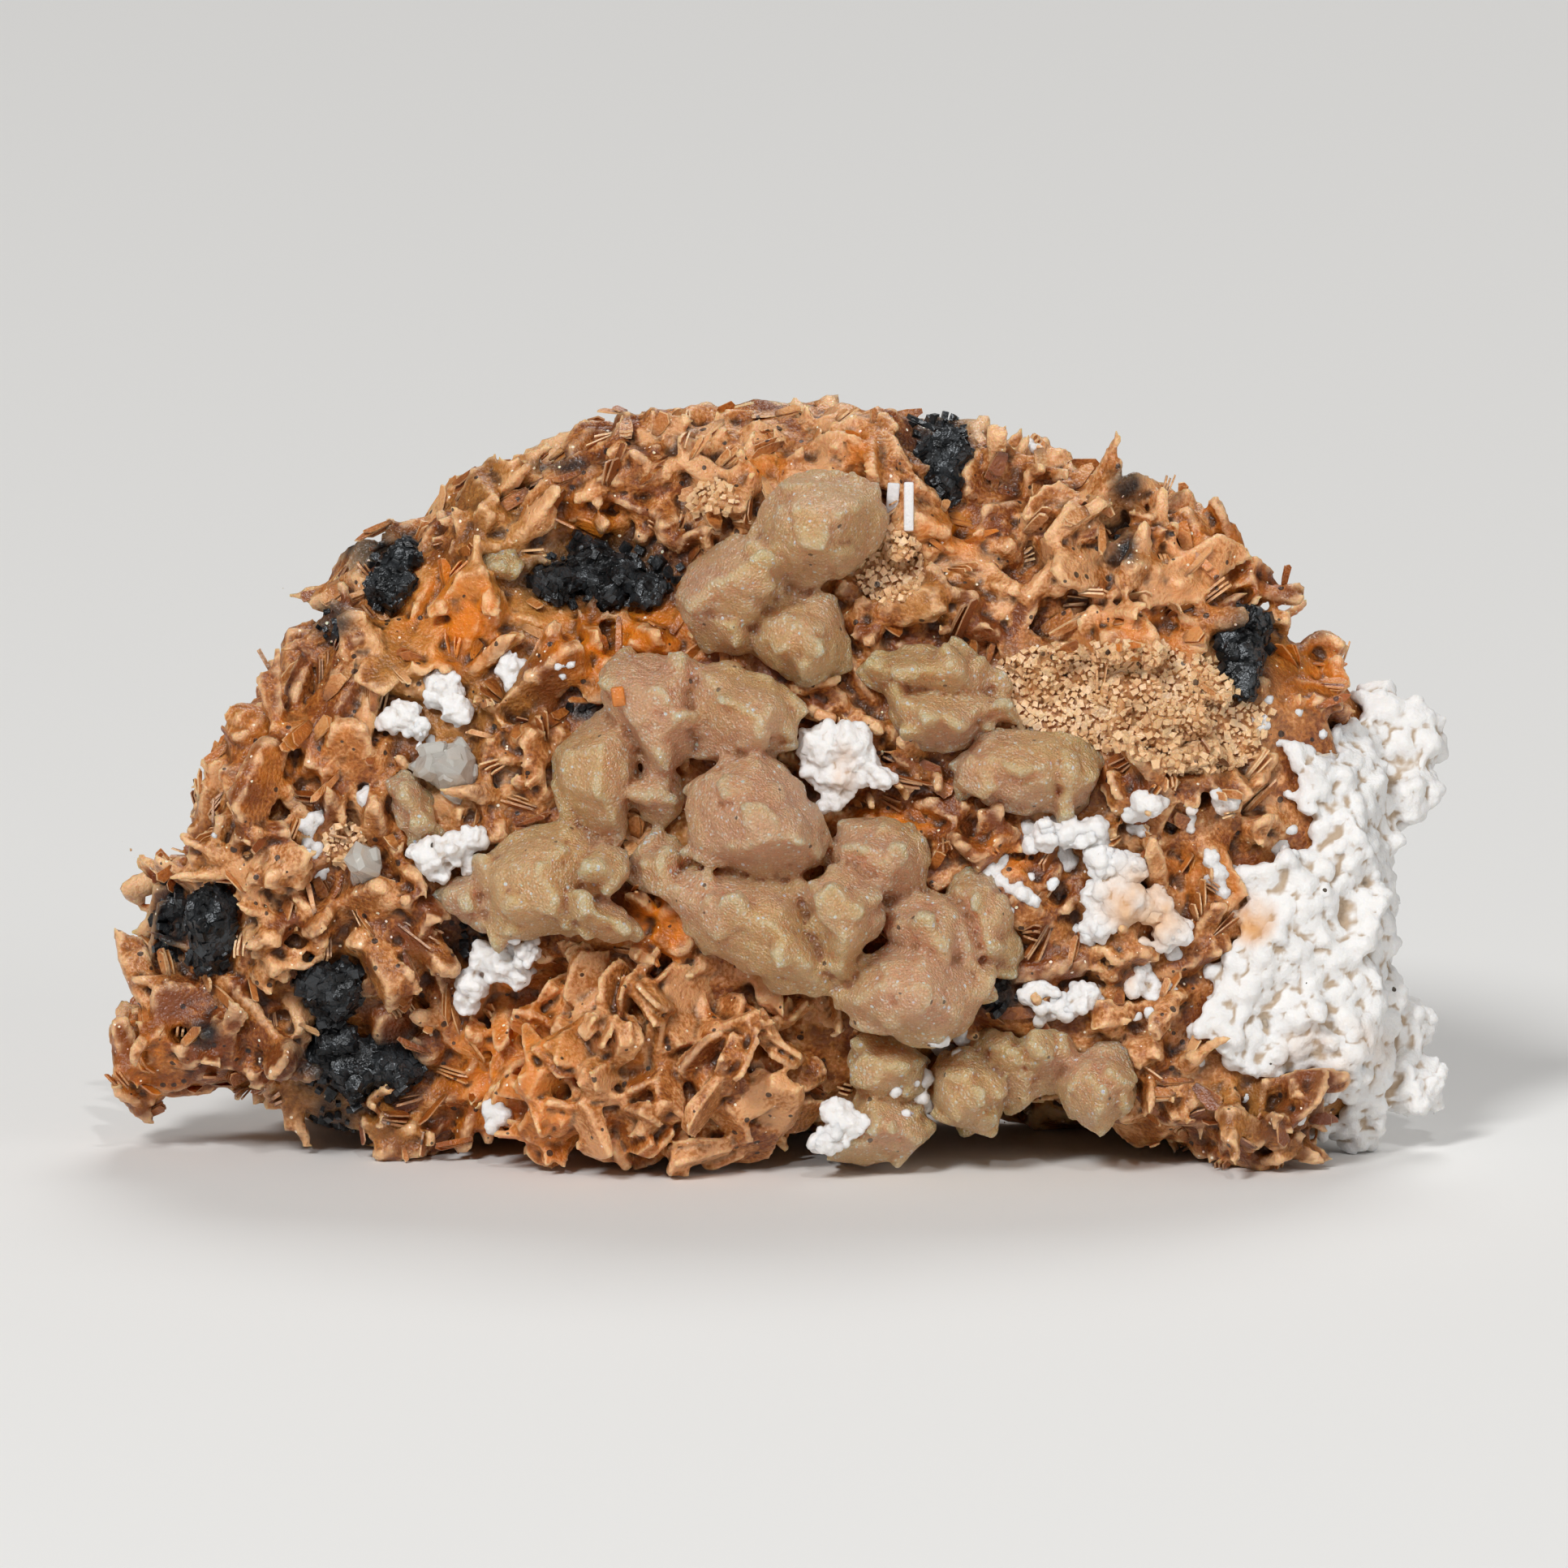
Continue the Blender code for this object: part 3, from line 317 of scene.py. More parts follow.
def scattered(mesh, spacing, rng, wanted=None, backSpacing=None):
    # places spread over a mesh, at least the spacing apart, each with its normal
    count = len(mesh.polygons)
    centres, normals, areas = np.zeros(count * 3), np.zeros(count * 3), np.zeros(count)
    mesh.polygons.foreach_get("center", centres)
    mesh.polygons.foreach_get("normal", normals)
    mesh.polygons.foreach_get("area", areas)
    centres, normals = centres.reshape(-1, 3), normals.reshape(-1, 3)
    order = np.arange(count)
    if wanted is not None:
        order = order[wanted(centres, normals)]
    enough = int(scatter["tries"] * areas[order].sum() / (spacing * mm) ** 2) + scatter["atLeast"]
    order = order.tolist()
    rng.shuffle(order)
    wide = max(spacing, backSpacing or spacing) * mm
    cells, chosen = {}, []
    for index in order[:enough]:
        x, y, z = centres[index].tolist()
        gap = (backSpacing if backSpacing and y > scatter["backStarts"] * mm else spacing) * mm
        i, j, k = int(x // wide), int(y // wide), int(z // wide)
        near = [kept for a in (i - 1, i, i + 1) for b in (j - 1, j, j + 1) for c in (k - 1, k, k + 1)
                for kept in cells.get((a, b, c), ())]
        if any((kept[0] - x) ** 2 + (kept[1] - y) ** 2 + (kept[2] - z) ** 2 < gap * gap for kept in near):
            continue
        cells.setdefault((i, j, k), []).append((x, y, z))
        normal = Vector(normals[index]).normalized()
        shift = anySide(rng, normal) * rng.uniform(0.0, scatter["shifted"]) * gap
        chosen.append((Vector((x, y, z)) + shift, normal))
    return chosen


def templateOf(bm, rimFaces=()):
    # a shape's arrays, for stamping it many times; rimFaces are its thin sides
    bmesh.ops.recalc_face_normals(bm, faces=bm.faces)
    bm.verts.index_update()
    rims = set(rimFaces)
    shape = {
        "co": np.array([vert.co[:] for vert in bm.verts]),
        "loops": np.array([vert.index for face in bm.faces for vert in face.verts]),
        "sizes": np.array([len(face.verts) for face in bm.faces]),
        "rim": np.array([1.0 if face in rims else 0.0 for face in bm.faces]),
    }
    bm.free()
    return shape


def stampedMesh(name, stamps):
    # one mesh of many stamped shapes; a stamp is its shape, its 4 by 4 matrix and its values
    co, loops, sizes, rims, start = [], [], [], [], 0
    values = {key: [] for key in (stamps[0][2] if stamps else ())}
    for shape, matrix, marks in stamps:
        turn = np.array(matrix)
        local = shape["co"]
        co.append(local @ turn[:3, :3].T + turn[:3, 3])
        loops.append(shape["loops"] + start)
        sizes.append(shape["sizes"])
        rims.append(shape["rim"])
        for key, mark in marks.items():
            values[key].append(mark * local[:, 2] if key == "rise" else np.full(len(local), mark))
        start += len(local)
    sizes = np.concatenate(sizes)
    mesh = bpy.data.meshes.new(name)
    mesh.vertices.add(start)
    mesh.loops.add(int(sizes.sum()))
    mesh.polygons.add(len(sizes))
    mesh.vertices.foreach_set("co", np.concatenate(co).astype(np.float32).ravel())
    mesh.loops.foreach_set("vertex_index", np.concatenate(loops).astype(np.int32))
    mesh.polygons.foreach_set("loop_start", (np.cumsum(sizes) - sizes).astype(np.int32))
    mesh.update(calc_edges=True)
    for key, parts in values.items():
        addValue(mesh, key, np.concatenate(parts))
    addValue(mesh, "rim", np.concatenate(rims), "FACE")
    placeCorners(mesh, cornersOf(mesh))
    mesh.shade_flat()
    return mesh


def facingFront(least):
    # picks the faces that look toward the viewer by at least this much
    return lambda centres, normals: normals @ np.array(towardViewer) > least


def inSpots(spots, least):
    # picks the faces that lie in the spots
    return lambda centres, normals: spotShare(centres, spots) > least


def finishPiece(obj, material, slot, *nodes):
    # the piece rides on the specimen, wears its material and stands for its solids
    obj.data.materials.clear()
    obj.data.materials.append(material)
    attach(obj, "root")
    if nodes:
        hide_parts(*nodes)
    print(f"  {obj.name}: {sum(len(face.vertices) - 2 for face in obj.data.polygons)} triangles")
    return obj


def finishStamps(name, stamps, material, slot):
    return finishPiece(newObject(name, stampedMesh(name, stamps)), material, slot)


# Materials
print("materials")


def fillSockets(tree, node, sockets):
    # each socket takes the link, colour or number that is given for it
    for socket, value in sockets.items():
        if isinstance(value, bpy.types.NodeSocket):
            tree.links.new(value, node.inputs[socket])
        else:
            node.inputs[socket].default_value = value


def newNode(tree, kind, sockets):
    node = tree.nodes.new("ShaderNode" + kind)
    fillSockets(tree, node, sockets)
    return node


def newMaterial(name, roughness):
    material = bpy.data.materials.new(name)
    material.use_nodes = True
    tree = material.node_tree
    shader = tree.nodes["Principled BSDF"]
    shader.inputs["Roughness"].default_value = roughness
    return material, tree, shader


def attributeValue(tree, name):
    node = newNode(tree, "Attribute", {})
    node.attribute_name = name
    return node.outputs["Fac"]


def mixColours(tree, share, first, second, blend="MIX"):
    node = newNode(tree, "Mix", {})
    node.data_type, node.blend_type = "RGBA", blend
    first, second = (value if isinstance(value, bpy.types.NodeSocket) else (*value, 1.0)
                     for value in (first, second))
    fillSockets(tree, node, {0: share, 6: first, 7: second})
    return node.outputs[2]


def ranged(tree, value, low, high, start=0.0, end=1.0):
    node = newNode(tree, "MapRange", {0: value, 1: low, 2: high, 3: start, 4: end})
    node.interpolation_type = "SMOOTHSTEP"
    return node.outputs[0]


def calculated(tree, operation, first, second):
    node = newNode(tree, "Math", {0: first, 1: second})
    node.operation = operation
    return node.outputs[0]


def newGroup(name, inputs, *outputs):
    # a node group with its named sockets, and the tree's own ends
    group = bpy.data.node_groups.new(name, "ShaderNodeTree")
    for label, value in inputs.items():
        socket = group.interface.new_socket(label, in_out="INPUT", socket_type="NodeSocketFloat")
        socket.default_value = value
    for label in outputs:
        group.interface.new_socket(label, in_out="OUTPUT", socket_type="NodeSocketFloat")
    return group, group.nodes.new("NodeGroupInput"), group.nodes.new("NodeGroupOutput")


def objectCoordinates(tree):
    return tree.nodes.new("ShaderNodeTexCoord").outputs["Object"]


def newTexture(group, given, kind, place, scale="Scale", **sockets):
    return newNode(group, kind, {"Vector": place, "Scale": given.outputs[scale], **sockets})


def makeSpecks():
    # fine dust: the given share of the cells holds a speck
    group, given, result = newGroup("fineSpecks", {"Scale": 1500.0, "Size": 0.2, "Share": 0.25}, "Mask")
    cells = newTexture(group, given, "TexVoronoi", objectCoordinates(group))
    parts = newNode(group, "SeparateColor", {0: cells.outputs["Color"]})
    chosen = calculated(group, "LESS_THAN", parts.outputs[0], given.outputs["Share"])
    size = calculated(group, "MULTIPLY", parts.outputs[1], given.outputs["Size"])
    near = calculated(group, "LESS_THAN", cells.outputs["Distance"], size)
    fillSockets(group, result, {"Mask": calculated(group, "MULTIPLY", chosen, near)})
    return group


def makeMottle():
    # slow and fine unevenness of colour, and a height for bumps
    group, given, result = newGroup("mottle", {"Scale": 300.0, "Fine Scale": 4000.0}, "Slow", "Fine")
    place = objectCoordinates(group)
    for label, scale, detail in (("Slow", "Scale", 4.0), ("Fine", "Fine Scale", 2.0)):
        cloud = newTexture(group, given, "TexNoise", place, scale, Detail=detail)
        fillSockets(group, result, {label: cloud.outputs[0]})
    return group


def makeSparkle():
    # a height of tiny crystal faces, for glints
    group, given, result = newGroup("sparkle", {"Scale": 6000.0}, "Height")
    cells = newTexture(group, given, "TexVoronoi", objectCoordinates(group))
    fillSockets(group, result, {"Height": cells.outputs["Distance"]})
    return group


def makeLines():
    # the height of fine growth lines, strong in some places and absent in others
    group, given, result = newGroup("growthLines", {"Scale": 620.0}, "Height")
    place = objectCoordinates(group)
    bands = newTexture(group, given, "TexWave", place, Distortion=5.0, Detail=1.0)
    bands.bands_direction = "DIAGONAL"
    cloud = newNode(group, "TexNoise", {"Vector": place, "Scale": 330.0})
    strong = ranged(group, cloud.outputs[0], 0.48, 0.6)
    fillSockets(group, result, {"Height": calculated(group, "MULTIPLY", bands.outputs["Fac"], strong)})
    return group


specksGroup, mottleGroup, sparkleGroup, linesGroup = makeSpecks(), makeMottle(), makeSparkle(), makeLines()


def placeGroup(tree, group, **values):
    node = newNode(tree, "Group", {})
    node.node_tree = group
    fillSockets(tree, node, {name.replace("_", " "): value for name, value in values.items()})
    return node


def specked(tree, colour, speck, strength, **sizes):
    specks = placeGroup(tree, specksGroup, **sizes)
    return mixColours(tree, calculated(tree, "MULTIPLY", specks.outputs[0], strength), colour, speck)


def addBump(tree, shader, height, strength, distance):
    bump = newNode(tree, "Bump", {"Strength": strength, "Distance": distance * mm, "Height": height})
    fillSockets(tree, shader, {"Normal": bump.outputs[0]})


bariteColours = {
    "pale": (0.71, 0.37, 0.17),
    "face": (0.45, 0.165, 0.038),
    "faceDeep": (0.20, 0.05, 0.009),
    # edge: a painted highlight on the blades' thin sides and on the skin's ridges
    "edge": (0.88, 0.585, 0.33),
    # root: painted shade at the blades' roots and in the skin's hollows
    "root": (0.05, 0.014, 0.004),
    "stain": (0.74, 0.21, 0.005),
    "ochre": (0.50, 0.25, 0.055),
    "sand": (0.56, 0.28, 0.11),
    "dark": (0.012, 0.012, 0.013),
    # glint: painted glints, as pale specks
    "glint": (0.95, 0.82, 0.66),
    "glow": (1.0, 0.45, 0.2),  # how far red, green and blue light spread inside
}


def faceColour(tree, mottle, slow, fine, paleFrom):
    # deep, plain and pale parts of the blades, by their tint and some unevenness; the tint also carries
    # painted shade
    look = bariteColours
    uneven = calculated(tree, "ADD", ranged(tree, mottle.outputs["Slow"], 0.3, 0.7, -slow, slow),
                        ranged(tree, mottle.outputs["Fine"], 0.3, 0.7, -fine, fine))
    tinted = calculated(tree, "ADD", attributeValue(tree, "tint"), uneven)
    face = mixColours(tree, ranged(tree, tinted, 0.0, 0.6), look["faceDeep"], look["face"])
    return mixColours(tree, ranged(tree, tinted, paleFrom, 1.0), face, look["pale"]), tinted


def stained(tree, mottle, colour):
    # orange stains, patchy within their places
    stain = calculated(tree, "MULTIPLY", attributeValue(tree, "stain"),
                       ranged(tree, mottle.outputs["Slow"], 0.35, 0.62, 0.35, 1.0))
    return mixColours(tree, stain, colour, bariteColours["stain"])


def sooted(tree, colour):
    # black specks everywhere, and all black beside the galena
    specks = placeGroup(tree, specksGroup, Scale=1500.0, Size=0.34, Share=0.2)
    soot = calculated(tree, "MAXIMUM", calculated(tree, "MULTIPLY", specks.outputs[0], 0.85),
                      attributeValue(tree, "soot"))
    return mixColours(tree, soot, colour, bariteColours["dark"])


def roughSurface(tree, shader, mottle, strength):
    height = calculated(tree, "ADD", mottle.outputs["Fine"], mottle.outputs["Slow"])
    addBump(tree, shader, height, strength, 0.2)


def bariteMaterial():
    # single blades, with a painted highlight along their thin sides and painted shade at their roots
    look = bariteColours
    material, tree, shader = newMaterial("bariteBlades", 0.38)
    mottle = placeGroup(tree, mottleGroup, Scale=420.0, Fine_Scale=5200.0)
    face, tinted = faceColour(tree, mottle, 0.28, 0.14, 0.55)
    # painted highlight: the thin sides take the pale edge colour
    rim = calculated(tree, "MULTIPLY", attributeValue(tree, "rim"),
                     ranged(tree, tinted, 0.0, 1.0, 0.3, 0.8))
    colour = stained(tree, mottle, mixColours(tree, rim, face, look["edge"]))
    # painted shade: the blades darken toward their roots
    rootShade = ranged(tree, attributeValue(tree, "rise"), 0.0, 0.4, 1.0, 0.0)
    colour = mixColours(tree, calculated(tree, "MULTIPLY", rootShade, 0.6), colour, look["root"])
    fillSockets(tree, shader, {
        "Base Color": sooted(tree, colour), "Specular IOR Level": 0.7,
        "Subsurface Weight": 0.3, "Subsurface Scale": 0.6 * mm, "Subsurface Radius": look["glow"],
    })
    roughSurface(tree, shader, mottle, 0.5)
    return material


def massMaterial():
    # blades joined in one skin, with a painted highlight on its ridges and painted shade in its hollows
    look = bariteColours
    material, tree, shader = newMaterial("bariteMass", 0.36)
    mottle = placeGroup(tree, mottleGroup, Scale=520.0, Fine_Scale=4200.0)
    face, _ = faceColour(tree, mottle, 0.32, 0.22, 0.5)
    regions = placeGroup(tree, mottleGroup, Scale=90.0, Fine_Scale=2600.0)
    ochre = ranged(tree, regions.outputs["Slow"], 0.52, 0.7, 0.0, 0.45)
    face = mixColours(tree, ochre, face, look["ochre"])
    colour = stained(tree, mottle, face)
    ridge = attributeValue(tree, "ridge")
    # painted highlight on the ridges, then painted shade in the hollows
    colour = mixColours(tree, ranged(tree, ridge, 0.58, 0.92, 0.0, 0.7), colour, look["edge"])
    colour = mixColours(tree, ranged(tree, ridge, 0.48, 0.14, 0.0, 0.92), colour, look["root"])
    sand = calculated(tree, "MULTIPLY", attributeValue(tree, "sand"), 0.85)
    colour = sooted(tree, mixColours(tree, sand, colour, look["sand"]))
    # painted glints: pale specks in the colour
    colour = specked(tree, colour, look["glint"], 1.0, Scale=3800.0, Size=0.42, Share=0.035)
    fillSockets(tree, shader, {
        "Base Color": colour, "Specular IOR Level": 0.45,
        "Subsurface Weight": 0.6, "Subsurface Scale": 0.8 * mm, "Subsurface Radius": look["glow"],
    })
    roughSurface(tree, shader, mottle, 0.7)
    return material


cerussiteColours = {
    "pink": (0.82, 0.45, 0.245),
    "honey": (0.82, 0.50, 0.21),
    # painted shade in the hollows; painted highlights on the ridges and along the broad edges
    "hollowShade": (0.58, 0.25, 0.09),
    "ridge": (0.92, 0.72, 0.50),
    "thin": (0.92, 0.64, 0.38),
    "speck": (0.05, 0.025, 0.012),
    # painted sparkle and painted glints, as pale specks
    "paintedSparkle": (1.0, 0.93, 0.82),
    "glint": (1.0, 0.97, 0.92),
    "clear": (1.0, 0.97, 0.9),
    "glow": (1.0, 0.65, 0.4),
}


def frostedMaterial():
    look = cerussiteColours
    material, tree, shader = newMaterial("frostedCerussite", 0.3)
    mottle = placeGroup(tree, mottleGroup, Scale=110.0, Fine_Scale=8000.0)
    ridge = attributeValue(tree, "ridge")
    body = mixColours(tree, ranged(tree, mottle.outputs["Slow"], 0.4, 0.6), look["pink"], look["honey"])
    # painted highlight: paler along the crystals' broad edges
    thin = ranged(tree, attributeValue(tree, "thin"), 0.45, 0.9, 0.0, 0.9)
    body = mixColours(tree, thin, body, look["thin"])
    # painted shade in the hollows, then a painted highlight on the ridges
    colour = mixColours(tree, ranged(tree, ridge, 0.42, 0.0), body, look["hollowShade"])
    colour = mixColours(tree, ranged(tree, ridge, 0.8, 1.0, 0.0, 0.3), colour, look["ridge"])
    shade = ranged(tree, mottle.outputs["Fine"], 0.35, 0.65, 0.84, 1.14)
    grey = mixColours(tree, shade, (0.0, 0.0, 0.0), (1.0, 1.0, 1.0))
    colour = mixColours(tree, 1.0, colour, grey, "MULTIPLY")
    # painted sparkle and painted glints as pale specks, then dark specks
    colour = specked(tree, colour, look["paintedSparkle"], 0.55, Scale=5200.0, Size=0.62, Share=0.3)
    colour = specked(tree, colour, look["glint"], 1.0, Scale=3200.0, Size=0.42, Share=0.14)
    colour = specked(tree, colour, look["speck"], 0.8, Scale=1100.0, Size=0.2, Share=0.16)
    fillSockets(tree, shader, {
        "Base Color": colour, "Specular IOR Level": 0.9, "Transmission Weight": 0.28, "IOR": 1.6,
        "Subsurface Weight": 0.9, "Subsurface Scale": 2.4 * mm, "Subsurface Radius": look["glow"],
    })
    sparkle = placeGroup(tree, sparkleGroup, Scale=5600.0)
    height = calculated(tree, "ADD", sparkle.outputs[0], mottle.outputs["Fine"])
    lines = placeGroup(tree, linesGroup, Scale=620.0)
    height = calculated(tree, "ADD", height, calculated(tree, "MULTIPLY", lines.outputs[0], 0.4))
    addBump(tree, shader, height, 1.0, 0.16)
    return material


def clearMaterial():
    material, tree, shader = newMaterial("clearCerussite", 0.04)
    fillSockets(tree, shader, {
        "Base Color": (*cerussiteColours["clear"], 1.0), "Transmission Weight": 0.6, "IOR": 1.8,
    })
    mottle = placeGroup(tree, mottleGroup, Scale=900.0, Fine_Scale=2600.0)
    addBump(tree, shader, mottle.outputs["Slow"], 0.6, 0.3)
    return material


whiteColours = {
    "ridge": (0.80, 0.785, 0.77),
    # painted shade in the hollows
    "hollowShade": (0.50, 0.38, 0.27),
    "stain": (0.70, 0.38, 0.16),
    "speck": (0.10, 0.08, 0.06),
    "glow": (1.0, 0.85, 0.7),
}


def whiteMaterial():
    look = whiteColours
    material, tree, shader = newMaterial("whiteCarbonate", 0.85)
    mottle = placeGroup(tree, mottleGroup, Scale=300.0, Fine_Scale=5200.0)
    ridge = attributeValue(tree, "ridge")
    # painted shade: darker and browner in the hollows
    colour = mixColours(tree, ranged(tree, ridge, 0.0, 0.42), look["hollowShade"], look["ridge"])
    warm = calculated(tree, "MULTIPLY", attributeValue(tree, "stain"),
                      ranged(tree, mottle.outputs["Slow"], 0.3, 0.65))
    colour = mixColours(tree, warm, colour, look["stain"])
    colour = specked(tree, colour, look["speck"], 1.0, Scale=900.0, Size=0.16, Share=0.07)
    fillSockets(tree, shader, {
        "Base Color": colour, "Specular IOR Level": 0.35,
        "Subsurface Weight": 0.5, "Subsurface Scale": 0.9 * mm, "Subsurface Radius": look["glow"],
    })
    addBump(tree, shader, mottle.outputs["Fine"], 0.5, 0.15)
    return material


galenaColours = {"dull": (0.010, 0.011, 0.012), "bright": (0.05, 0.055, 0.06)}


def galenaMaterial():
    look = galenaColours
    material, tree, shader = newMaterial("galena", 0.32)
    mottle = placeGroup(tree, mottleGroup, Scale=900.0, Fine_Scale=5200.0)
    colour = mixColours(tree, ranged(tree, mottle.outputs["Slow"], 0.4, 0.6), look["dull"], look["bright"])
    fillSockets(tree, shader, {"Base Color": colour, "Metallic": 0.55, "Specular IOR Level": 0.6})
    addBump(tree, shader, mottle.outputs["Fine"], 0.6, 0.15)
    return material


bariteLook, massLook = bariteMaterial(), massMaterial()
frostedLook, clearLook = frostedMaterial(), clearMaterial()
whiteLook, galenaLook = whiteMaterial(), galenaMaterial()

# Where the photograph shows each finish, and where shade is painted: pixel, pixel, radius across, radius up,
# strength
stainSpots = [
    (560, 765, 65, 60, 1.0), (765, 785, 95, 48, 0.9), (815, 1140, 45, 40, 1.0), (640, 1330, 80, 110, 0.85),
    (945, 578, 26, 14, 1.0), (1170, 660, 40, 26, 0.9), (1405, 800, 60, 40, 0.75), (1620, 830, 45, 38, 0.7),
    (720, 640, 40, 30, 0.6), (1060, 570, 20, 36, 0.6), (1500, 690, 70, 60, 0.35), (360, 930, 90, 60, 0.3),
    (1090, 1010, 50, 20, 0.6), (800, 1420, 40, 30, 0.5), (1480, 1080, 60, 30, 0.4), (1240, 1050, 40, 22, 0.5),
    (180, 1300, 40, 60, 0.45), (880, 495, 40, 20, 0.3),
]
sootSpots = [
    (745, 712, 95, 42, 1.0), (1155, 540, 38, 38, 1.0), (1386, 600, 20, 22, 0.9), (1383, 675, 14, 22, 0.9),
    (1530, 800, 30, 50, 0.9), (212, 1140, 26, 50, 1.0), (412, 1215, 40, 32, 1.0), (404, 1306, 40, 40, 1.0),
    (488, 1300, 36, 26, 1.0), (412, 1380, 28, 34, 0.8), (464, 674, 46, 28, 0.9), (412, 764, 26, 26, 0.8),
    (255, 1270, 20, 16, 0.9), (720, 878, 20, 12, 0.8), (1228, 1222, 24, 28, 1.0), (590, 1150, 26, 40, 0.7),
    (700, 575, 40, 10, 0.8),
]
paleSpots = [
    (300, 1110, 100, 60, 1.0), (930, 540, 120, 50, 0.7), (740, 1200, 110, 50, 0.9), (1290, 700, 90, 60, 0.7),
    (900, 1290, 130, 60, 0.6), (640, 620, 60, 30, 0.8), (1230, 590, 90, 50, 0.6), (1440, 760, 80, 60, 0.5),
    (1010, 1290, 50, 60, 0.9), (400, 900, 60, 50, 0.4), (770, 1330, 70, 60, 0.5),
]
# Where the blades are painted darker, as painted shade in recesses and on the set-back foot
paintedShadeSpots = [
    (240, 1310, 130, 80, 1.0), (450, 680, 60, 40, 0.8), (390, 790, 50, 60, 0.9), (540, 1150, 60, 70, 0.9),
    (480, 1340, 110, 70, 0.9), (1130, 1010, 60, 70, 0.8), (1240, 1190, 60, 60, 0.9), (210, 1030, 40, 70, 0.6),
    (350, 940, 70, 80, 0.5), (1180, 1060, 90, 60, 0.7), (600, 880, 60, 30, 0.8), (820, 1240, 60, 40, 0.3),
    (1540, 720, 60, 60, 0.3), (780, 700, 50, 50, 0.7), (1540, 1380, 90, 40, 0.8),
]
sandSpots = [
    (1365, 860, 165, 60, 1.0), (1470, 900, 90, 50, 1.0), (1095, 700, 40, 42, 1.0), (880, 620, 30, 26, 0.7),
    (430, 1040, 30, 30, 0.6),
]

# The rock
print("rock")
rockSizes = {
    "skin": 0.6,
    "softened": 3,
    "rough": 0.5,
    "roughOver": 2.2,
    "octaves": ((1.0, 1.0, 0.0), (0.5, 2.3, 7.0), (0.3, 5.0, 13.0)),  # share, how much finer, seed
    "flatBelow": 0.4,
}


def makeRock():
    # a soft copy of the rock, only to grow things on
    obj = remeshed("barite_rock", mergedSolid("barite_matrix"), rockSizes["skin"])
    mesh = obj.data
    smoothed(mesh, rockSizes["softened"])
    roughened(mesh, rockSizes)
    bpy.data.objects.remove(obj)
    return mesh


rock = makeRock()
rockTree = treeOf(rock)
otherNodes = [name for name in frame["nodes"] if name != "barite_matrix"]
othersTree = treeOfNodes(otherNodes)
crustTree = treeOfNodes(["white_crust"])

# Barite blades
print("barite blades")
bladeSizes = {
    "seed": 21,
    "templates": 24,
    "thickCorners": (7, 10),
    "thinCorners": (6, 8),
    "buried": 0.9,
    "shortest": 0.6,
    "standing": (1.1, 2.3),  # above the rock, where it turns away from the viewer and toward it
    "tipLimit": 0.0,
    "clearOfGround": 0.6,
    "underside": (-0.75, 3.0),  # how far a face looks down, and how low it is, for nothing to grow
    "sandBare": 0.85,
    "sootBare": 0.4,
    "backStarts": 2.0,
}
# Each pass over the rock: its spacing at the front and back, how many blades stand in a book, how
# long, wide and thick they are, how far a book opens, how far it leans over, how many books lie
# like shingles, and its share in the platy places and in the finer ones.
bladePasses = [
    {"spacing": (2.3, 3.8), "blades": (2, 4), "length": (4.0, 8.0), "width": (1.9, 4.4),
     "thickness": (0.5, 0.9), "spread": (8.0, 36.0), "lean": (62.0, 86.0), "shingled": 0.7,
     "share": (1.0, 0.3)},
    {"spacing": (1.9, 2.8), "blades": (2, 3), "length": (3.0, 6.4), "width": (0.8, 1.8),
     "thickness": (0.42, 0.75), "spread": (12.0, 56.0), "lean": (48.0, 82.0), "shingled": 0.45,
     "share": (0.7, 1.0)},
    {"spacing": (1.4, 2.2), "blades": (1, 2), "length": (1.4, 3.2), "width": (0.7, 1.6),
     "thickness": (0.36, 0.56), "spread": (15.0, 60.0), "lean": (25.0, 78.0), "shingled": 0.35,
     "share": (0.3, 0.9)},
]
flakes = {
    **bladeSizes,
    "spacing": {"front_left": 1.75, "front_right": 1.75, "back": 1.75 * 1.7},
    "blades": (1, 3),
    "length": (1.2, 3.2),
    "width": (0.35, 1.2),
    "thickness": (0.08, 0.16),
    "spread": (8.0, 40.0),
    "lean": (62.0, 88.0),
    "shingled": 0.6,
    "standing": (0.3, 0.6),
    "buried": 0.4,
    "tipLimit": 2.2,
    "sandBare": 0.9,
    "platyBare": 0.3,
    "offRock": 1.6,  # no flakes on tips that stand further off than this
}
massSizes = {
    "skin": {"front_left": 0.29, "front_right": 0.29, "back": 0.52},
    "cutDeeper": 0.3,
    "softened": 1,
    "rough": 0.1,
    "roughOver": 0.8,
    "octaves": ((1.0, 1.0, 0.0), (0.6, 2.4, 4.0)),
    "flatBelow": 0.4,
    "ridge": (5, 0.22),
    "near": 0.5,
    "uneven": (0.3, 1.1, 3.0),  # how much, over how many mm, seed
}
# The planes that the three masses meet at: a place, and the way that the plane looks
seams = {
    "front_left": [((0.6, 0.0, 0.0), (1, 0, 0)), ((0.0, 3.0, 0.0), (0, 1, 0))],
    "front_right": [((-0.6, 0.0, 0.0), (-1, 0, 0)), ((0.0, 3.0, 0.0), (0, 1, 0))],
    "back": [((0.0, 1.7, 0.0), (0, -1, 0))],
}
# Where the plates are large, as pixel, pixel, radius across, radius up, strength
platySpots = [
    (360, 930, 130, 120, 1.0), (480, 830, 80, 90, 0.9), (240, 1010, 60, 60, 0.8), (1310, 700, 110, 70, 1.0),
    (1460, 730, 130, 120, 0.9), (1570, 720, 70, 120, 0.9), (1430, 630, 110, 50, 0.8),
    (1170, 650, 80, 50, 1.0),
    (500, 1190, 80, 90, 0.9), (780, 780, 80, 50, 0.7), (560, 760, 80, 70, 0.6), (1060, 530, 60, 50, 0.8),
    (1150, 1060, 80, 70, 0.6), (240, 1300, 120, 60, 0.5), (900, 500, 60, 40, 0.5),
]
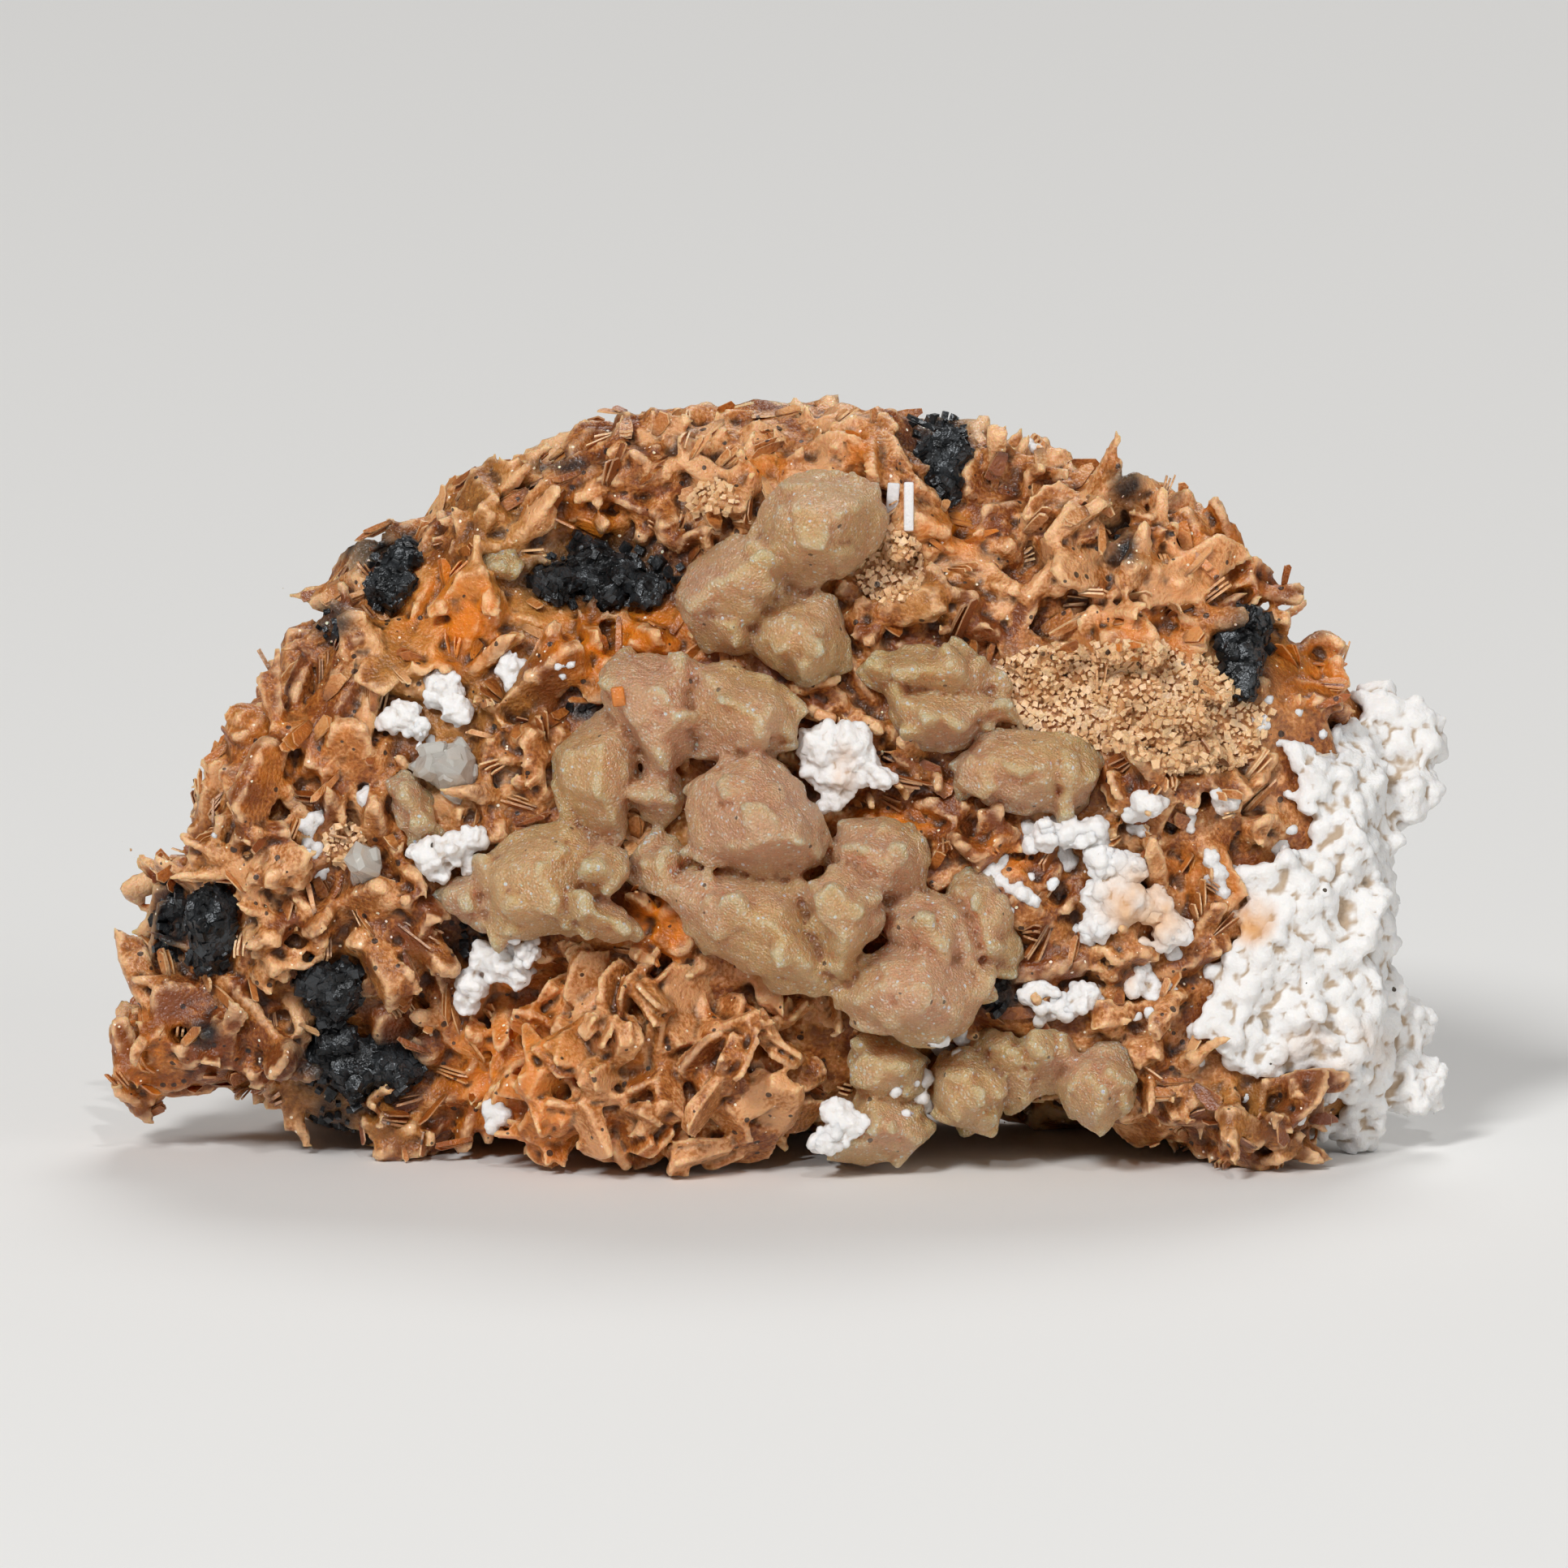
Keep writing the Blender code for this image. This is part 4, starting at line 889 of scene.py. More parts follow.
# Where the blades run one way: pixel, pixel, radius, radius, degrees above the horizontal in the view
grainSpots = [
    (330, 880, 110, 130, 50), (440, 880, 50, 100, 100), (560, 765, 50, 70, 85), (640, 620, 80, 50, 38),
    (780, 560, 100, 50, 52), (910, 530, 80, 50, 35), (740, 780, 60, 60, 125), (810, 780, 50, 60, 80),
    (1060, 560, 50, 60, 105), (1180, 670, 70, 40, -28), (1300, 680, 110, 60, 32), (1340, 760, 110, 40, 25),
    (1440, 795, 110, 50, -8), (1270, 600, 60, 50, 80), (500, 1160, 60, 100, -58), (330, 1050, 110, 40, 5),
    (470, 1340, 100, 60, 12), (240, 1180, 80, 60, -35), (1120, 1000, 60, 60, -30), (1550, 950, 60, 60, 40),
]
grain = {"wander": 17.0, "upward": 0.6}  # degrees about the way, and how many blades point up it
# Where few blades stand out of the skin
smoothSpots = [
    (1570, 720, 80, 120, 0.8), (1500, 650, 60, 60, 0.7), (240, 1290, 110, 50, 0.6), (520, 1370, 120, 50, 0.5),
    (930, 495, 60, 22, 0.8), (1660, 800, 40, 50, 0.7), (1370, 590, 60, 50, 0.4), (1120, 520, 50, 30, 0.6),
]


def grainAt(rng, place, normal):
    # the way that blades run at a place, or none
    across, up, toward = (float(part[0]) for part in viewAxes([place]))
    if toward < photoView["frontEnds"]:
        return None
    for px, py, wide, high, degrees in grainSpots:
        u, v = acrossUp(px, py)
        if math.hypot((across - u) / wide, (up - v) / high) * photoView["pixelsPerMm"] < 1.0:
            turn = math.radians(degrees + rng.gauss(0.0, grain["wander"]))
            way = Vector((math.cos(turn), 0.0, 0.0)) + viewUp * math.sin(turn)
            way = (way - normal * way.dot(normal)).normalized()
            return way if rng.random() < grain["upward"] else -way
    return None


plateShape = {
    "waist": (0.5, 0.9),  # its width at the root
    "slant": 0.2,
    "bite": {False: 0.9, True: 0.72},  # how far plain and ragged outlines are bitten in
    "unevenAngle": 0.12,
    "corner": (0.64, 0.8, 0.66),  # half the width, where its sides are cut straight, half the length
    "smallerSide": (0.9, 0.98),
    "flatFace": 0.7,
}


def bladeTemplate(rng, corners, ragged=False):
    # a flat plate from its root at 0 to its tip at 1 along Z, one unit wide and one thick
    bm = bmesh.new()
    bmesh.ops.create_circle(bm, cap_ends=True, radius=0.5, segments=corners)
    waist = rng.uniform(*plateShape["waist"])
    slant = rng.uniform(-plateShape["slant"], plateShape["slant"])
    bite, uneven = plateShape["bite"][ragged], plateShape["unevenAngle"]
    wide, straight, high = plateShape["corner"]
    for vert in bm.verts:
        angle = math.atan2(vert.co.y, vert.co.x) + rng.uniform(-uneven, uneven)
        side, along = math.cos(angle), math.sin(angle)
        rise = min(max(0.5 + high * along, 0.0), 1.0)
        bitten = rng.uniform(bite + 0.08, 1.0) if rise > 0.6 else 1.0
        rise = min(rise, 1.0 - max(0.0, slant * side * 2)) * bitten
        narrow = 1.0 - (1.0 - waist) * (1.0 - rise) ** 1.5
        side = wide * math.copysign(min(abs(side), straight), side) * narrow
        vert.co = Vector((side * rng.uniform(bite, 1.0), -0.5, rise))
    grown = bmesh.ops.extrude_face_region(bm, geom=bm.faces[:])
    moved = [item for item in grown["geom"] if isinstance(item, bmesh.types.BMVert)]
    bmesh.ops.translate(bm, verts=moved, vec=(0.0, 1.0, 0.0))
    shrunk = rng.uniform(*plateShape["smallerSide"])
    for vert in moved:
        vert.co = Vector((vert.co.x * shrunk, vert.co.y, 0.5 + (vert.co.z - 0.5) * shrunk))
    bmesh.ops.recalc_face_normals(bm, faces=bm.faces)
    return templateOf(bm, [face for face in bm.faces if abs(face.normal.y) < plateShape["flatFace"]])


def bladeMatrix(root, growth, flatNormal, length, width, thickness):
    side = flatNormal.cross(growth).normalized()
    flat = growth.cross(side).normalized()
    matrix = Matrix((side * width, flat * thickness, growth * length)).transposed().to_4x4()
    matrix.translation = root
    return matrix


def fitsTheBox(shape, matrix):
    (left, front, _), (right, back, top) = solidBox
    turn = np.array(matrix)
    co = shape["co"] @ turn[:3, :3].T + turn[:3, 3]
    low, high = co.min(0), co.max(0)
    return (low[0] > left and low[1] > front and low[2] > 0.0
            and high[0] < right and high[1] < back and high[2] < top)


fanShape = {
    "stackTurn": 0.5,  # radians
    "leafTurn": 0.09,
    "unflat": 0.1,
    "leastRise": (0.18, 0.3),  # leaves that rise less than the first are raised by the second
    "reach": (0.72, 1.12),  # of the fan's length
    "facing": 1.4,
    "clear": (0.1, 1.3, 0.95),  # mm off the place, how far others are looked for, how near is kept
    "stride": 0.22,  # mm between the leaves' roots
    "unevenStride": 0.1,
    "shorter": (1.0, 0.75, 0.55, 0.4),  # tries, until a leaf fits
    "tipOver": 1.35,
    "width": (0.7, 1.1),
    "tint": 0.15,
}


def growFan(stamps, rng, shapes, place, normal, marks, sizes, obstacles, across=None, size=1.0):
    # blades that part from one root, like the leaves of an open book
    fan = fanShape
    lean = math.radians(rng.uniform(*sizes["lean"]))
    across = anySide(rng, normal) if across is None else across
    heading = (normal * math.cos(lean) + across * math.sin(lean)).normalized()
    stacked = anySide(rng, heading)
    if rng.random() < sizes["shingled"]:
        upward = (normal - heading * normal.dot(heading)).normalized()
        stacked = Matrix.Rotation(rng.uniform(-fan["stackTurn"], fan["stackTurn"]), 3, heading) @ upward
    count = rng.randint(*sizes["blades"])
    spread = math.radians(rng.uniform(*sizes["spread"]))
    length = rng.uniform(*sizes["length"]) * size * mm
    width = rng.uniform(*sizes["width"]) * size * mm
    low, high = sizes["standing"]
    standing = low + (high - low) * min(1.0, abs(normal.dot(towardViewer)) * fan["facing"])
    buried = sizes["buried"] * mm
    for step in range(count):
        fromMiddle = (step + 0.5) / count - 0.5
        turn = spread * fromMiddle + rng.uniform(-fan["leafTurn"], fan["leafTurn"])
        growth = (heading * math.cos(turn) + stacked * math.sin(turn)).normalized()
        flat = (stacked * math.cos(turn) - heading * math.sin(turn)).normalized()
        flat = (flat + Vector([rng.uniform(-fan["unflat"], fan["unflat"]) for _ in range(3)])).normalized()
        least, raised = fan["leastRise"]
        if growth.dot(normal) < least:
            growth = (growth + normal * (raised - growth.dot(normal))).normalized()
        reach = length * rng.uniform(*fan["reach"])
        reach = min(reach, standing * mm / max(growth.dot(normal), 0.2))
        off, beyond, kept = fan["clear"]
        hit = obstacles.ray_cast(place + normal * off * mm, growth, reach * beyond)
        if hit[0] is not None:
            reach = min(reach, hit[3] * kept)
        if reach < sizes["shortest"] * mm:
            continue
        shape = rng.choice(shapes)
        shift = fromMiddle * count * fan["stride"] + rng.uniform(-fan["unevenStride"], fan["unevenStride"])
        root = place - growth * sizes["buried"] * mm + stacked * shift * mm
        for shorter in fan["shorter"]:
            tip = place + growth * reach * shorter
            below = rockTree.find_nearest(tip)
            if (tip - below[0]).dot(below[1]) > max(fan["tipOver"] * standing, sizes["tipLimit"]) * mm:
                continue
            wide = width * rng.uniform(*fan["width"]) * (0.6 + 0.4 * shorter)
            matrix = bladeMatrix(root, growth, flat, reach * shorter + buried, wide,
                                 rng.uniform(*sizes["thickness"]) * mm)
            if fitsTheBox(shape, matrix):
                tint = min(max(marks["tint"] + rng.uniform(-fan["tint"], fan["tint"]), 0.0), 1.0)
                stamps.append((shape, matrix, {**marks, "tint": tint}))
                break


othersOver = {"crust": 1.1, "off": 0.05, "through": 40.0, "outward": 0.25}


def buriedIn(place, normal, reach=1.0):
    # whether another mineral lies just over this place
    if crustTree.find_nearest(place)[3] < othersOver["crust"] * mm:
        return True
    start = place + normal * othersOver["off"] * mm
    hit = othersTree.ray_cast(start, normal, reach * mm)
    inside = othersTree.ray_cast(start, normal, othersOver["through"] * mm)
    return hit[0] is not None or (inside[0] is not None and inside[1].dot(normal) > othersOver["outward"])


def bladeGroup(place):
    if place.y > bladeSizes["backStarts"] * mm:
        return "back"
    return "front_left" if place.x < 0 else "front_right"


bladeMarks = {
    "platyBehind": (0.5, 1.6, 9.0, 3.0),  # middle, how uneven, over how many mm, seed
    "tint": (0.48, 0.75, 5.0, 31.0),
    "pale": 0.45,
    # dark: how far the painted shade spots lower the tint
    "dark": 0.55,
    "unevenTint": 0.28,
    "unevenStain": 0.15,
}


def markPlaces(rng, spots):
    # the values of the blades that grow at each place, and how sooty, sandy and platy it is
    look = bladeMarks
    places = [place for place, _ in spots]
    stains, soots = spotShare(places, stainSpots), spotShare(places, sootSpots)
    sands, platy = spotShare(places, sandSpots), spotShare(places, platySpots)
    bare = np.maximum(sands, spotShare(places, smoothSpots))
    behind = viewAxes(places)[2] < photoView["frontEnds"]
    middle, uneven, over, seed = look["platyBehind"]
    platy = np.where(behind, np.clip(middle + uneven * roughShare(places, over, seed), 0.0, 1.0), platy)
    middle, uneven, over, seed = look["tint"]
    # the shade spots lower the tint as painted shade
    tints = (middle + uneven * roughShare(places, over, seed) + look["pale"] * spotShare(places, paleSpots)
             - look["dark"] * spotShare(places, paintedShadeSpots))
    for (place, normal), stain, soot, sand, plate, tint in zip(spots, stains, soots, bare, platy, tints):
        marks = {"tint": tint + rng.uniform(-look["unevenTint"], look["unevenTint"]),
                 "stain": min(1.0, stain + rng.uniform(0.0, look["unevenStain"])), "soot": 0.0, "rise": 1.0}
        yield place, normal, marks, soot, sand, plate


def onOpenRock(centres, normals):
    looksDown, low = bladeSizes["underside"]
    return ((centres[:, 2] > bladeSizes["clearOfGround"] * mm)
            & ~((normals[:, 2] < looksDown) & (centres[:, 2] < low * mm)))


def growBlades(rng, shapes):
    # the thick blades of each mass
    groups = {group: [] for group in seams}
    for look in bladePasses:
        sizes = {**bladeSizes, **look}
        spots = scattered(rock, look["spacing"][0], rng, onOpenRock, look["spacing"][1])
        for place, normal, marks, soot, sand, plate in markPlaces(rng, spots):
            wanted = plate * look["share"][0] + (1 - plate) * look["share"][1]
            if (rng.random() > wanted or buriedIn(place, normal) or rng.random() < sizes["sandBare"] * sand
                    or soot > sizes["sootBare"]):
                continue
            way = grainAt(rng, place, normal)
            growFan(groups[bladeGroup(place)], rng, shapes, place, normal, marks, sizes, othersTree, way)
    return groups


def makeMass(group, stamps):
    # thick blades and rock in one skin, whose hidden inner sides are one flat face each
    look, name = massSizes, "barite_mass_" + group
    stamped = stampedMesh("blades", stamps)
    bm = cutBehind(mergedSolid("barite_matrix"), seams[group])
    bm.from_mesh(stamped)
    obj = remeshed(name, bm, look["skin"][group])
    obj.data = fromBmesh(name, cutBehind(bmeshOf(obj.data), seams[group], look["cutDeeper"]))
    smoothed(obj.data, look["softened"])
    roughened(obj.data, look)
    # the ridge value carries the painted highlights on the ridges and the painted shade in the hollows
    addRidge(obj.data, *look["ridge"])
    takeValues(obj.data, stamped, look["near"], {"tint": 0.3})
    bpy.data.meshes.remove(stamped)
    co = cornersOf(obj.data)
    uneven, over, seed = look["uneven"]
    for value, spots in (("stain", stainSpots), ("soot", sootSpots), ("sand", sandSpots)):
        share = spotShare(co, spots)
        share = share + uneven * roughShare(co, over, seed) * (share > 0.05)
        addValue(obj.data, value, np.clip(share, 0.0, 1.0))
    obj.data.shade_smooth()
    return obj


def growFlakes(rng, shapes, group, mesh, tree):
    # thin blades on a mass
    stamps = []
    spots = scattered(mesh, flakes["spacing"][group], rng, onOpenRock)
    for place, normal, marks, soot, sand, plate in markPlaces(rng, spots):
        if (soot > flakes["sootBare"] or rng.random() < flakes["sandBare"] * sand
                or rng.random() < flakes["platyBare"] * plate or buriedIn(place, normal)):
            continue
        place, normal = tree.find_nearest(place)[:2]
        if rockTree.find_nearest(place)[3] > flakes["offRock"] * mm:
            continue
        way = grainAt(rng, place, normal)
        growFan(stamps, rng, shapes, place, normal, marks, flakes, othersTree, way)
    return stamps


def coverRock():
    # makes the masses with their flakes, and gives what finds places on the front ones
    rng = random.Random(bladeSizes["seed"])
    thick, thin = ([bladeTemplate(rng, rng.randint(*bladeSizes[corners]), ragged)
                    for _ in range(bladeSizes["templates"])]
                   for corners, ragged in (("thickCorners", True), ("thinCorners", False)))
    trees = []
    for group, stamps in growBlades(rng, thick).items():
        obj = makeMass(group, stamps)
        tree = treeOf(obj.data)
        small = growFlakes(rng, thin, group, obj.data, tree)
        print(f"  {len(stamps)} thick blades and {len(small)} flakes in {group}")
        finishStamps("barite_flakes_" + group, small, bariteLook, "barite")
        finishPiece(obj, massLook, "barite", *(["barite_matrix"] if group == "back" else []))
        if group != "back":
            trees.append(tree)
    return trees


frontTrees = [othersTree] + coverRock()


def onFront(px, py):
    # the nearest place to the viewer under a pixel of the photograph
    start = viewPlace(*acrossUp(px, py), photoView["before"])
    hits = [tree.ray_cast(start, -towardViewer) for tree in frontTrees]
    hits = [hit for hit in hits if hit[0] is not None]
    return min(hits, key=lambda hit: hit[3])[:2] if hits else (None, None)


# The rosette
print("rosette")
rosetteSizes = {
    "seed": 8,
    "middle": (-7.4, 7.4, 6.0),
    "core": 0.82,  # how far it shrinks toward its middle, to make room for the plates
    "coreSkin": 0.45,
    "coreSoftened": 16,
    "spacing": 1.75,
    "facing": -0.5,
    "templates": 16,
    "corners": (9, 13),
    "blades": (2, 4),
    "length": (2.4, 3.9),
    "width": (2.6, 4.6),
    "thickness": (0.3, 0.46),
    "size": (0.8, 1.1),
    "skin": 0.195,
    "softened": (1, 0.4),
    "ridge": (7, 0.2),
    "near": 0.5,
    "tint": (0.4, 1.05),
    "stain": 0.9,
    "spread": (6.0, 40.0),
    "lean": (18.0, 74.0),
    "buried": 1.6,
    "shortest": 0.9,
    "shingled": 0.45,
    "standing": (3.6, 9.0),
    "tipLimit": 0.0,
}


def makeRosette():
    look = rosetteSizes
    rng = random.Random(look["seed"])
    core = remeshed("barite_rosette_core", mergedSolid("barite_rosette"), look["coreSkin"])
    smoothed(core.data, look["coreSoftened"])
    middle = np.array(viewPlace(*look["middle"]))
    placeCorners(core.data, middle + (cornersOf(core.data) - middle) * look["core"])
    shapes = [bladeTemplate(rng, rng.randint(*look["corners"]), True) for _ in range(look["templates"])]
    spots = scattered(core.data, look["spacing"], rng, facingFront(look["facing"]))
    stains = spotShare([place for place, _ in spots], stainSpots)
    tree = treeOfNodes([name for name in otherNodes if name != "barite_rosette"])
    stamps = []
    for (place, normal), stain in zip(spots, stains):
        marks = {"tint": rng.uniform(*look["tint"]), "stain": stain * look["stain"], "soot": 0.0,
                 "rise": 1.0}
        size = rng.uniform(*look["size"])
        growFan(stamps, rng, shapes, place, normal, marks, look, tree, size=size)
    print(f"  {len(stamps)} blades in the rosette")
    stamped = stampedMesh("plates", stamps)
    obj = remeshed("barite_rosette_plates", bmeshOf(core.data, stamped), look["skin"])
    bpy.data.objects.remove(core)
    smoothed(obj.data, *look["softened"])
    # the ridge value carries the painted highlights on the ridges and the painted shade in the hollows
    addRidge(obj.data, *look["ridge"])
    takeValues(obj.data, stamped, look["near"], {"tint": 0.2, "stain": 0.3})
    addValue(obj.data, "soot", spotShare(cornersOf(obj.data), sootSpots))
    obj.data.shade_smooth()
    bpy.data.meshes.remove(stamped)
    finishPiece(obj, massLook, "barite", "barite_rosette")


makeRosette()

# Cerussite
print("cerussite")
crystalSizes = {
    "seed": 4,
    "skin": {"cerussite_middle": 0.23, "cerussite_upper": 0.21},
    "skinOfOthers": 0.185,
    "softened": 1,
    "swell": 0.05,
    "swellOver": 0.7,
    "swellSeed": 21.0,
    "grain": 0.04,
    "grainOver": 0.32,
    "ridge": (4, 0.1),
    # thin: a broad ridge value, for the painted highlight along the crystals' edges
    "thin": (34, 0.9),
    "chipSpacing": 1.4,
    "chips": (0.6, 1.8),
    "chipFacing": -0.2,
}
chipShape = {
    "corners": 6,
    "uneven": 0.15,  # radians
    "flat": (0.6, 0.9),
    "rings": ((-0.6, 0.8), (-0.05, 1.0), (0.14, 0.74)),  # how high and how wide each ring of corners is
    "reach": (0.85, 1.1),
}


def addChip(bm, rng, place, normal, size):
    # a small crystal partly sunk in a larger one: the hull of a few points round it
    local = bmesh.new()
    heading = anySide(rng, normal)
    third = normal.cross(heading)
    for step in range(chipShape["corners"]):
        turn = 2 * math.pi / chipShape["corners"] * step
        angle = turn + rng.uniform(-chipShape["uneven"], chipShape["uneven"])
        side = heading * math.cos(angle) + third * math.sin(angle) * rng.uniform(*chipShape["flat"])
        for rise, reach in chipShape["rings"]:
            out = side * reach * rng.uniform(*chipShape["reach"])
            local.verts.new(place + (out + normal * rise) * size)
    bmesh.ops.convex_hull(local, input=local.verts)
    bmesh.ops.recalc_face_normals(local, faces=local.faces)
    piece = fromBmesh("chip", local)
    bm.from_mesh(piece)
    bpy.data.meshes.remove(piece)


def rngOf(look, node):
    # each node has its own random numbers
    return random.Random(look["seed"] + sum(map(ord, node)))


def makeCrystal(node, clear):
    look = crystalSizes
    rng = rngOf(look, node)
    bm, surface = splitSolid(node)
    for place, normal in scattered(surface, look["chipSpacing"], rng, facingFront(look["chipFacing"])):
        addChip(bm, rng, place, normal, rng.uniform(*look["chips"]) * mm)
    bpy.data.meshes.remove(surface)
    if clear:
        obj = newObject(node + "_clear", fromBmesh(node + "_clear", bm))
        placeCorners(obj.data, cornersOf(obj.data))
        obj.data.shade_flat()
        return finishPiece(obj, clearLook, "clear_cerussite", node)
    obj = remeshed(node + "_frosted", bm, look["skin"].get(node, look["skinOfOthers"]))
    smoothed(obj.data, look["softened"])
    co = cornersOf(obj.data)
    pushed(obj.data, roughShare(co, look["grainOver"]) * look["grain"]
           + roughShare(co, look["swellOver"], look["swellSeed"]) * look["swell"])
    # these values carry the painted highlights and the painted shade of the frosted look
    for name in ("ridge", "thin"):
        addRidge(obj.data, *look[name], name)
    obj.data.shade_smooth()
    return finishPiece(obj, frostedLook, "frosted_cerussite", node)


for node in sorted(frame["nodes"]):
    if node.startswith("cerussite_"):
        makeCrystal(node, node in ("cerussite_glassy", "cerussite_bead"))

# White carbonate
print("white carbonate")
# Each kind of snow: the voxel of its skin, the spacing and the least and largest radius of its knobs,
# how finely they are made, how far apart its rounded bumps are and how high, how much of their height
# is inward, its fine roughness, and the rounds and height of its ridges.
snowKinds = {
    "puff": {"skin": 0.12, "knobs": (1.0, 0.3, 0.6), "finer": 1, "bumps": ((1.0, 0.26), (0.5, 0.13)),
             "inward": 0.6, "rough": 0.04, "ridge": (5, 0.14)},
    "crust": {"skin": 0.25, "knobs": (1.6, 0.5, 1.0), "finer": 1, "bumps": ((1.5, 0.5), (0.72, 0.24)),
              "inward": 0.6, "rough": 0.04, "ridge": (5, 0.14)},
    "dabs": {"skin": 0.19, "balls": (0.5, 1.0), "finer": 2, "bumps": ((0.55, 0.2),), "inward": 0.5,
             "rough": 0.0, "ridge": (5, 0.12)},
}
snowSizes = {"seed": 12, "dabSeed": 61, "softened": 2, "sunk": 0.45, "roughOver": 0.4, "onSpots": 0.5}
# Where the crust also lies on the rock itself
snowSpots = [
    (1610, 1265, 165, 100, 1.0), (1560, 1180, 90, 70, 1.0), (1690, 1060, 70, 150, 1.0),
    (1620, 960, 70, 90, 1.0),
    (1735, 900, 55, 60, 1.0), (1700, 1380, 80, 60, 1.0), (1480, 1060, 40, 36, 0.8), (1300, 1030, 34, 20, 0.9),
]
whiteStains = [
    (1405, 1115, 50, 45, 0.8), (1535, 1130, 26, 28, 1.0), (1650, 1290, 60, 30, 0.35),
    (1500, 1000, 60, 40, 0.4),
    (1040, 950, 14, 30, 0.5), (1380, 1190, 14, 50, 0.6), (1620, 1330, 60, 20, 0.5),
]


def addBall(bm, middle, radius, finer):
    bmesh.ops.create_icosphere(bm, subdivisions=finer, radius=radius, matrix=Matrix.Translation(middle))


def finishSnow(obj, look, *nodes):
    # rounded bumps and stains on a white skin
    co = cornersOf(obj.data)
    swell = roughShare(co, snowSizes["roughOver"]) * look["rough"]
    for apart, height in look["bumps"]:
        swell += height * (bumpShare(co, apart) - look["inward"])
    pushed(obj.data, swell)
    # the ridge value carries the painted shade in the hollows
    addRidge(obj.data, *look["ridge"])
    addValue(obj.data, "stain", spotShare(cornersOf(obj.data), whiteStains))
    obj.data.shade_smooth()
    return finishPiece(obj, whiteLook, "white_carbonate", *nodes)


def makeSnow(node):
    rng = rngOf(snowSizes, node)
    look = snowKinds["crust" if node == "white_crust" else "puff"]
    bm, surface = splitSolid(node)
    spacing, least, largest = look["knobs"]
    spots = scattered(surface, spacing, rng)
    if node == "white_crust":
        spots += scattered(rock, spacing, rng, inSpots(snowSpots, snowSizes["onSpots"]))
    for place, normal in spots:
        radius = rng.uniform(least, largest) * mm
        addBall(bm, place - normal * radius * snowSizes["sunk"], radius, look["finer"])
    bpy.data.meshes.remove(surface)
    obj = remeshed(node + "_snow", bm, look["skin"])
    smoothed(obj.data, snowSizes["softened"])
    return finishSnow(obj, look, node)


for node in sorted(frame["nodes"]):
    if node.startswith("puff_") or node == "white_crust":
        makeSnow(node)

# Small dabs of white, and two white tabs beside the tall crystals
print("small things")
dabSpots = [  # pixel, pixel, size in mm, how many balls, how far they spread in pixels
    (388, 1015, 0.6, 7, 14), (390, 1045, 0.5, 5, 10), (1543, 886, 0.6, 6, 12), (1265, 538, 0.5, 8, 22),
    (1165, 1282, 0.75, 9, 26), (1128, 1345, 0.7, 8, 20), (616, 1375, 0.7, 7, 16), (1225, 1075, 0.6, 8, 24),
    (1262, 1100, 0.6, 8, 20), (1575, 1045, 0.5, 5, 14), (400, 1072, 0.4, 3, 8), (1500, 985, 0.6, 9, 12),
    (1462, 1010, 0.5, 5, 9), (268, 1027, 0.5, 1, 1), (1310, 818, 0.42, 2, 4), (700, 830, 0.4, 3, 10),
    (1300, 1028, 0.75, 12, 36), (1350, 1060, 0.85, 12, 28), (1380, 1110, 0.9, 16, 36),
    (1440, 1150, 0.8, 12, 30),
    (1410, 1215, 0.7, 12, 24), (1300, 1240, 0.7, 9, 22), (1400, 1000, 0.8, 9, 20), (1490, 1075, 0.7, 12, 20),
    (1330, 1160, 0.6, 6, 20), (520, 905, 0.45, 4, 10), (650, 1170, 0.6, 6, 20), (1020, 1390, 0.6, 5, 16),
]


def makeDabs():
    look = snowKinds["dabs"]
    rng = random.Random(snowSizes["dabSeed"])
    bm = bmesh.new()
    for px, py, size, balls, spread in dabSpots:
        for _ in range(balls):
            place, _ = onFront(px + rng.gauss(0, 0.6) * spread, py + rng.gauss(0, 0.6) * spread)
            if place is None:
                continue
            radius = size * rng.uniform(*look["balls"]) * mm
            addBall(bm, place - towardViewer * radius * snowSizes["sunk"], radius, look["finer"])
    finishSnow(remeshed("white_dabs", bm, look["skin"]), look)


# Two upright white tablets, an orange speck and a yellowish chip. Each has its place in the
# photograph, its size in mm, its tilt in degrees and the values that its material reads.
tabs = {
    "tab_left": {"at": (1098, 628), "size": (0.75, 0.4, 3.0), "tilt": 4, "white": True,
                 "marks": {"ridge": 0.8, "stain": 0.0}},
    "tab_right": {"at": (1118, 628), "size": (0.6, 0.4, 3.0), "tilt": 0, "white": True,
                  "marks": {"ridge": 0.9, "stain": 0.0}},
    "orange_speck": {"at": (765, 860), "size": (0.8, 0.5, 1.2), "tilt": -8, "white": False,
                     "marks": {"tint": 0.6, "stain": 1.0, "soot": 0.0, "rise": 1.0, "rim": 0.0}},
    "yellow_chip": {"at": (1016, 884), "size": (1.4, 0.8, 0.7), "tilt": 20, "white": False,
                    "marks": {"tint": 0.9, "stain": 0.15, "soot": 0.0, "rise": 1.0, "rim": 0.4}},
}
tabShape = {"bevel": 0.35, "segments": 3, "profile": 0.6, "standsOff": 0.6}


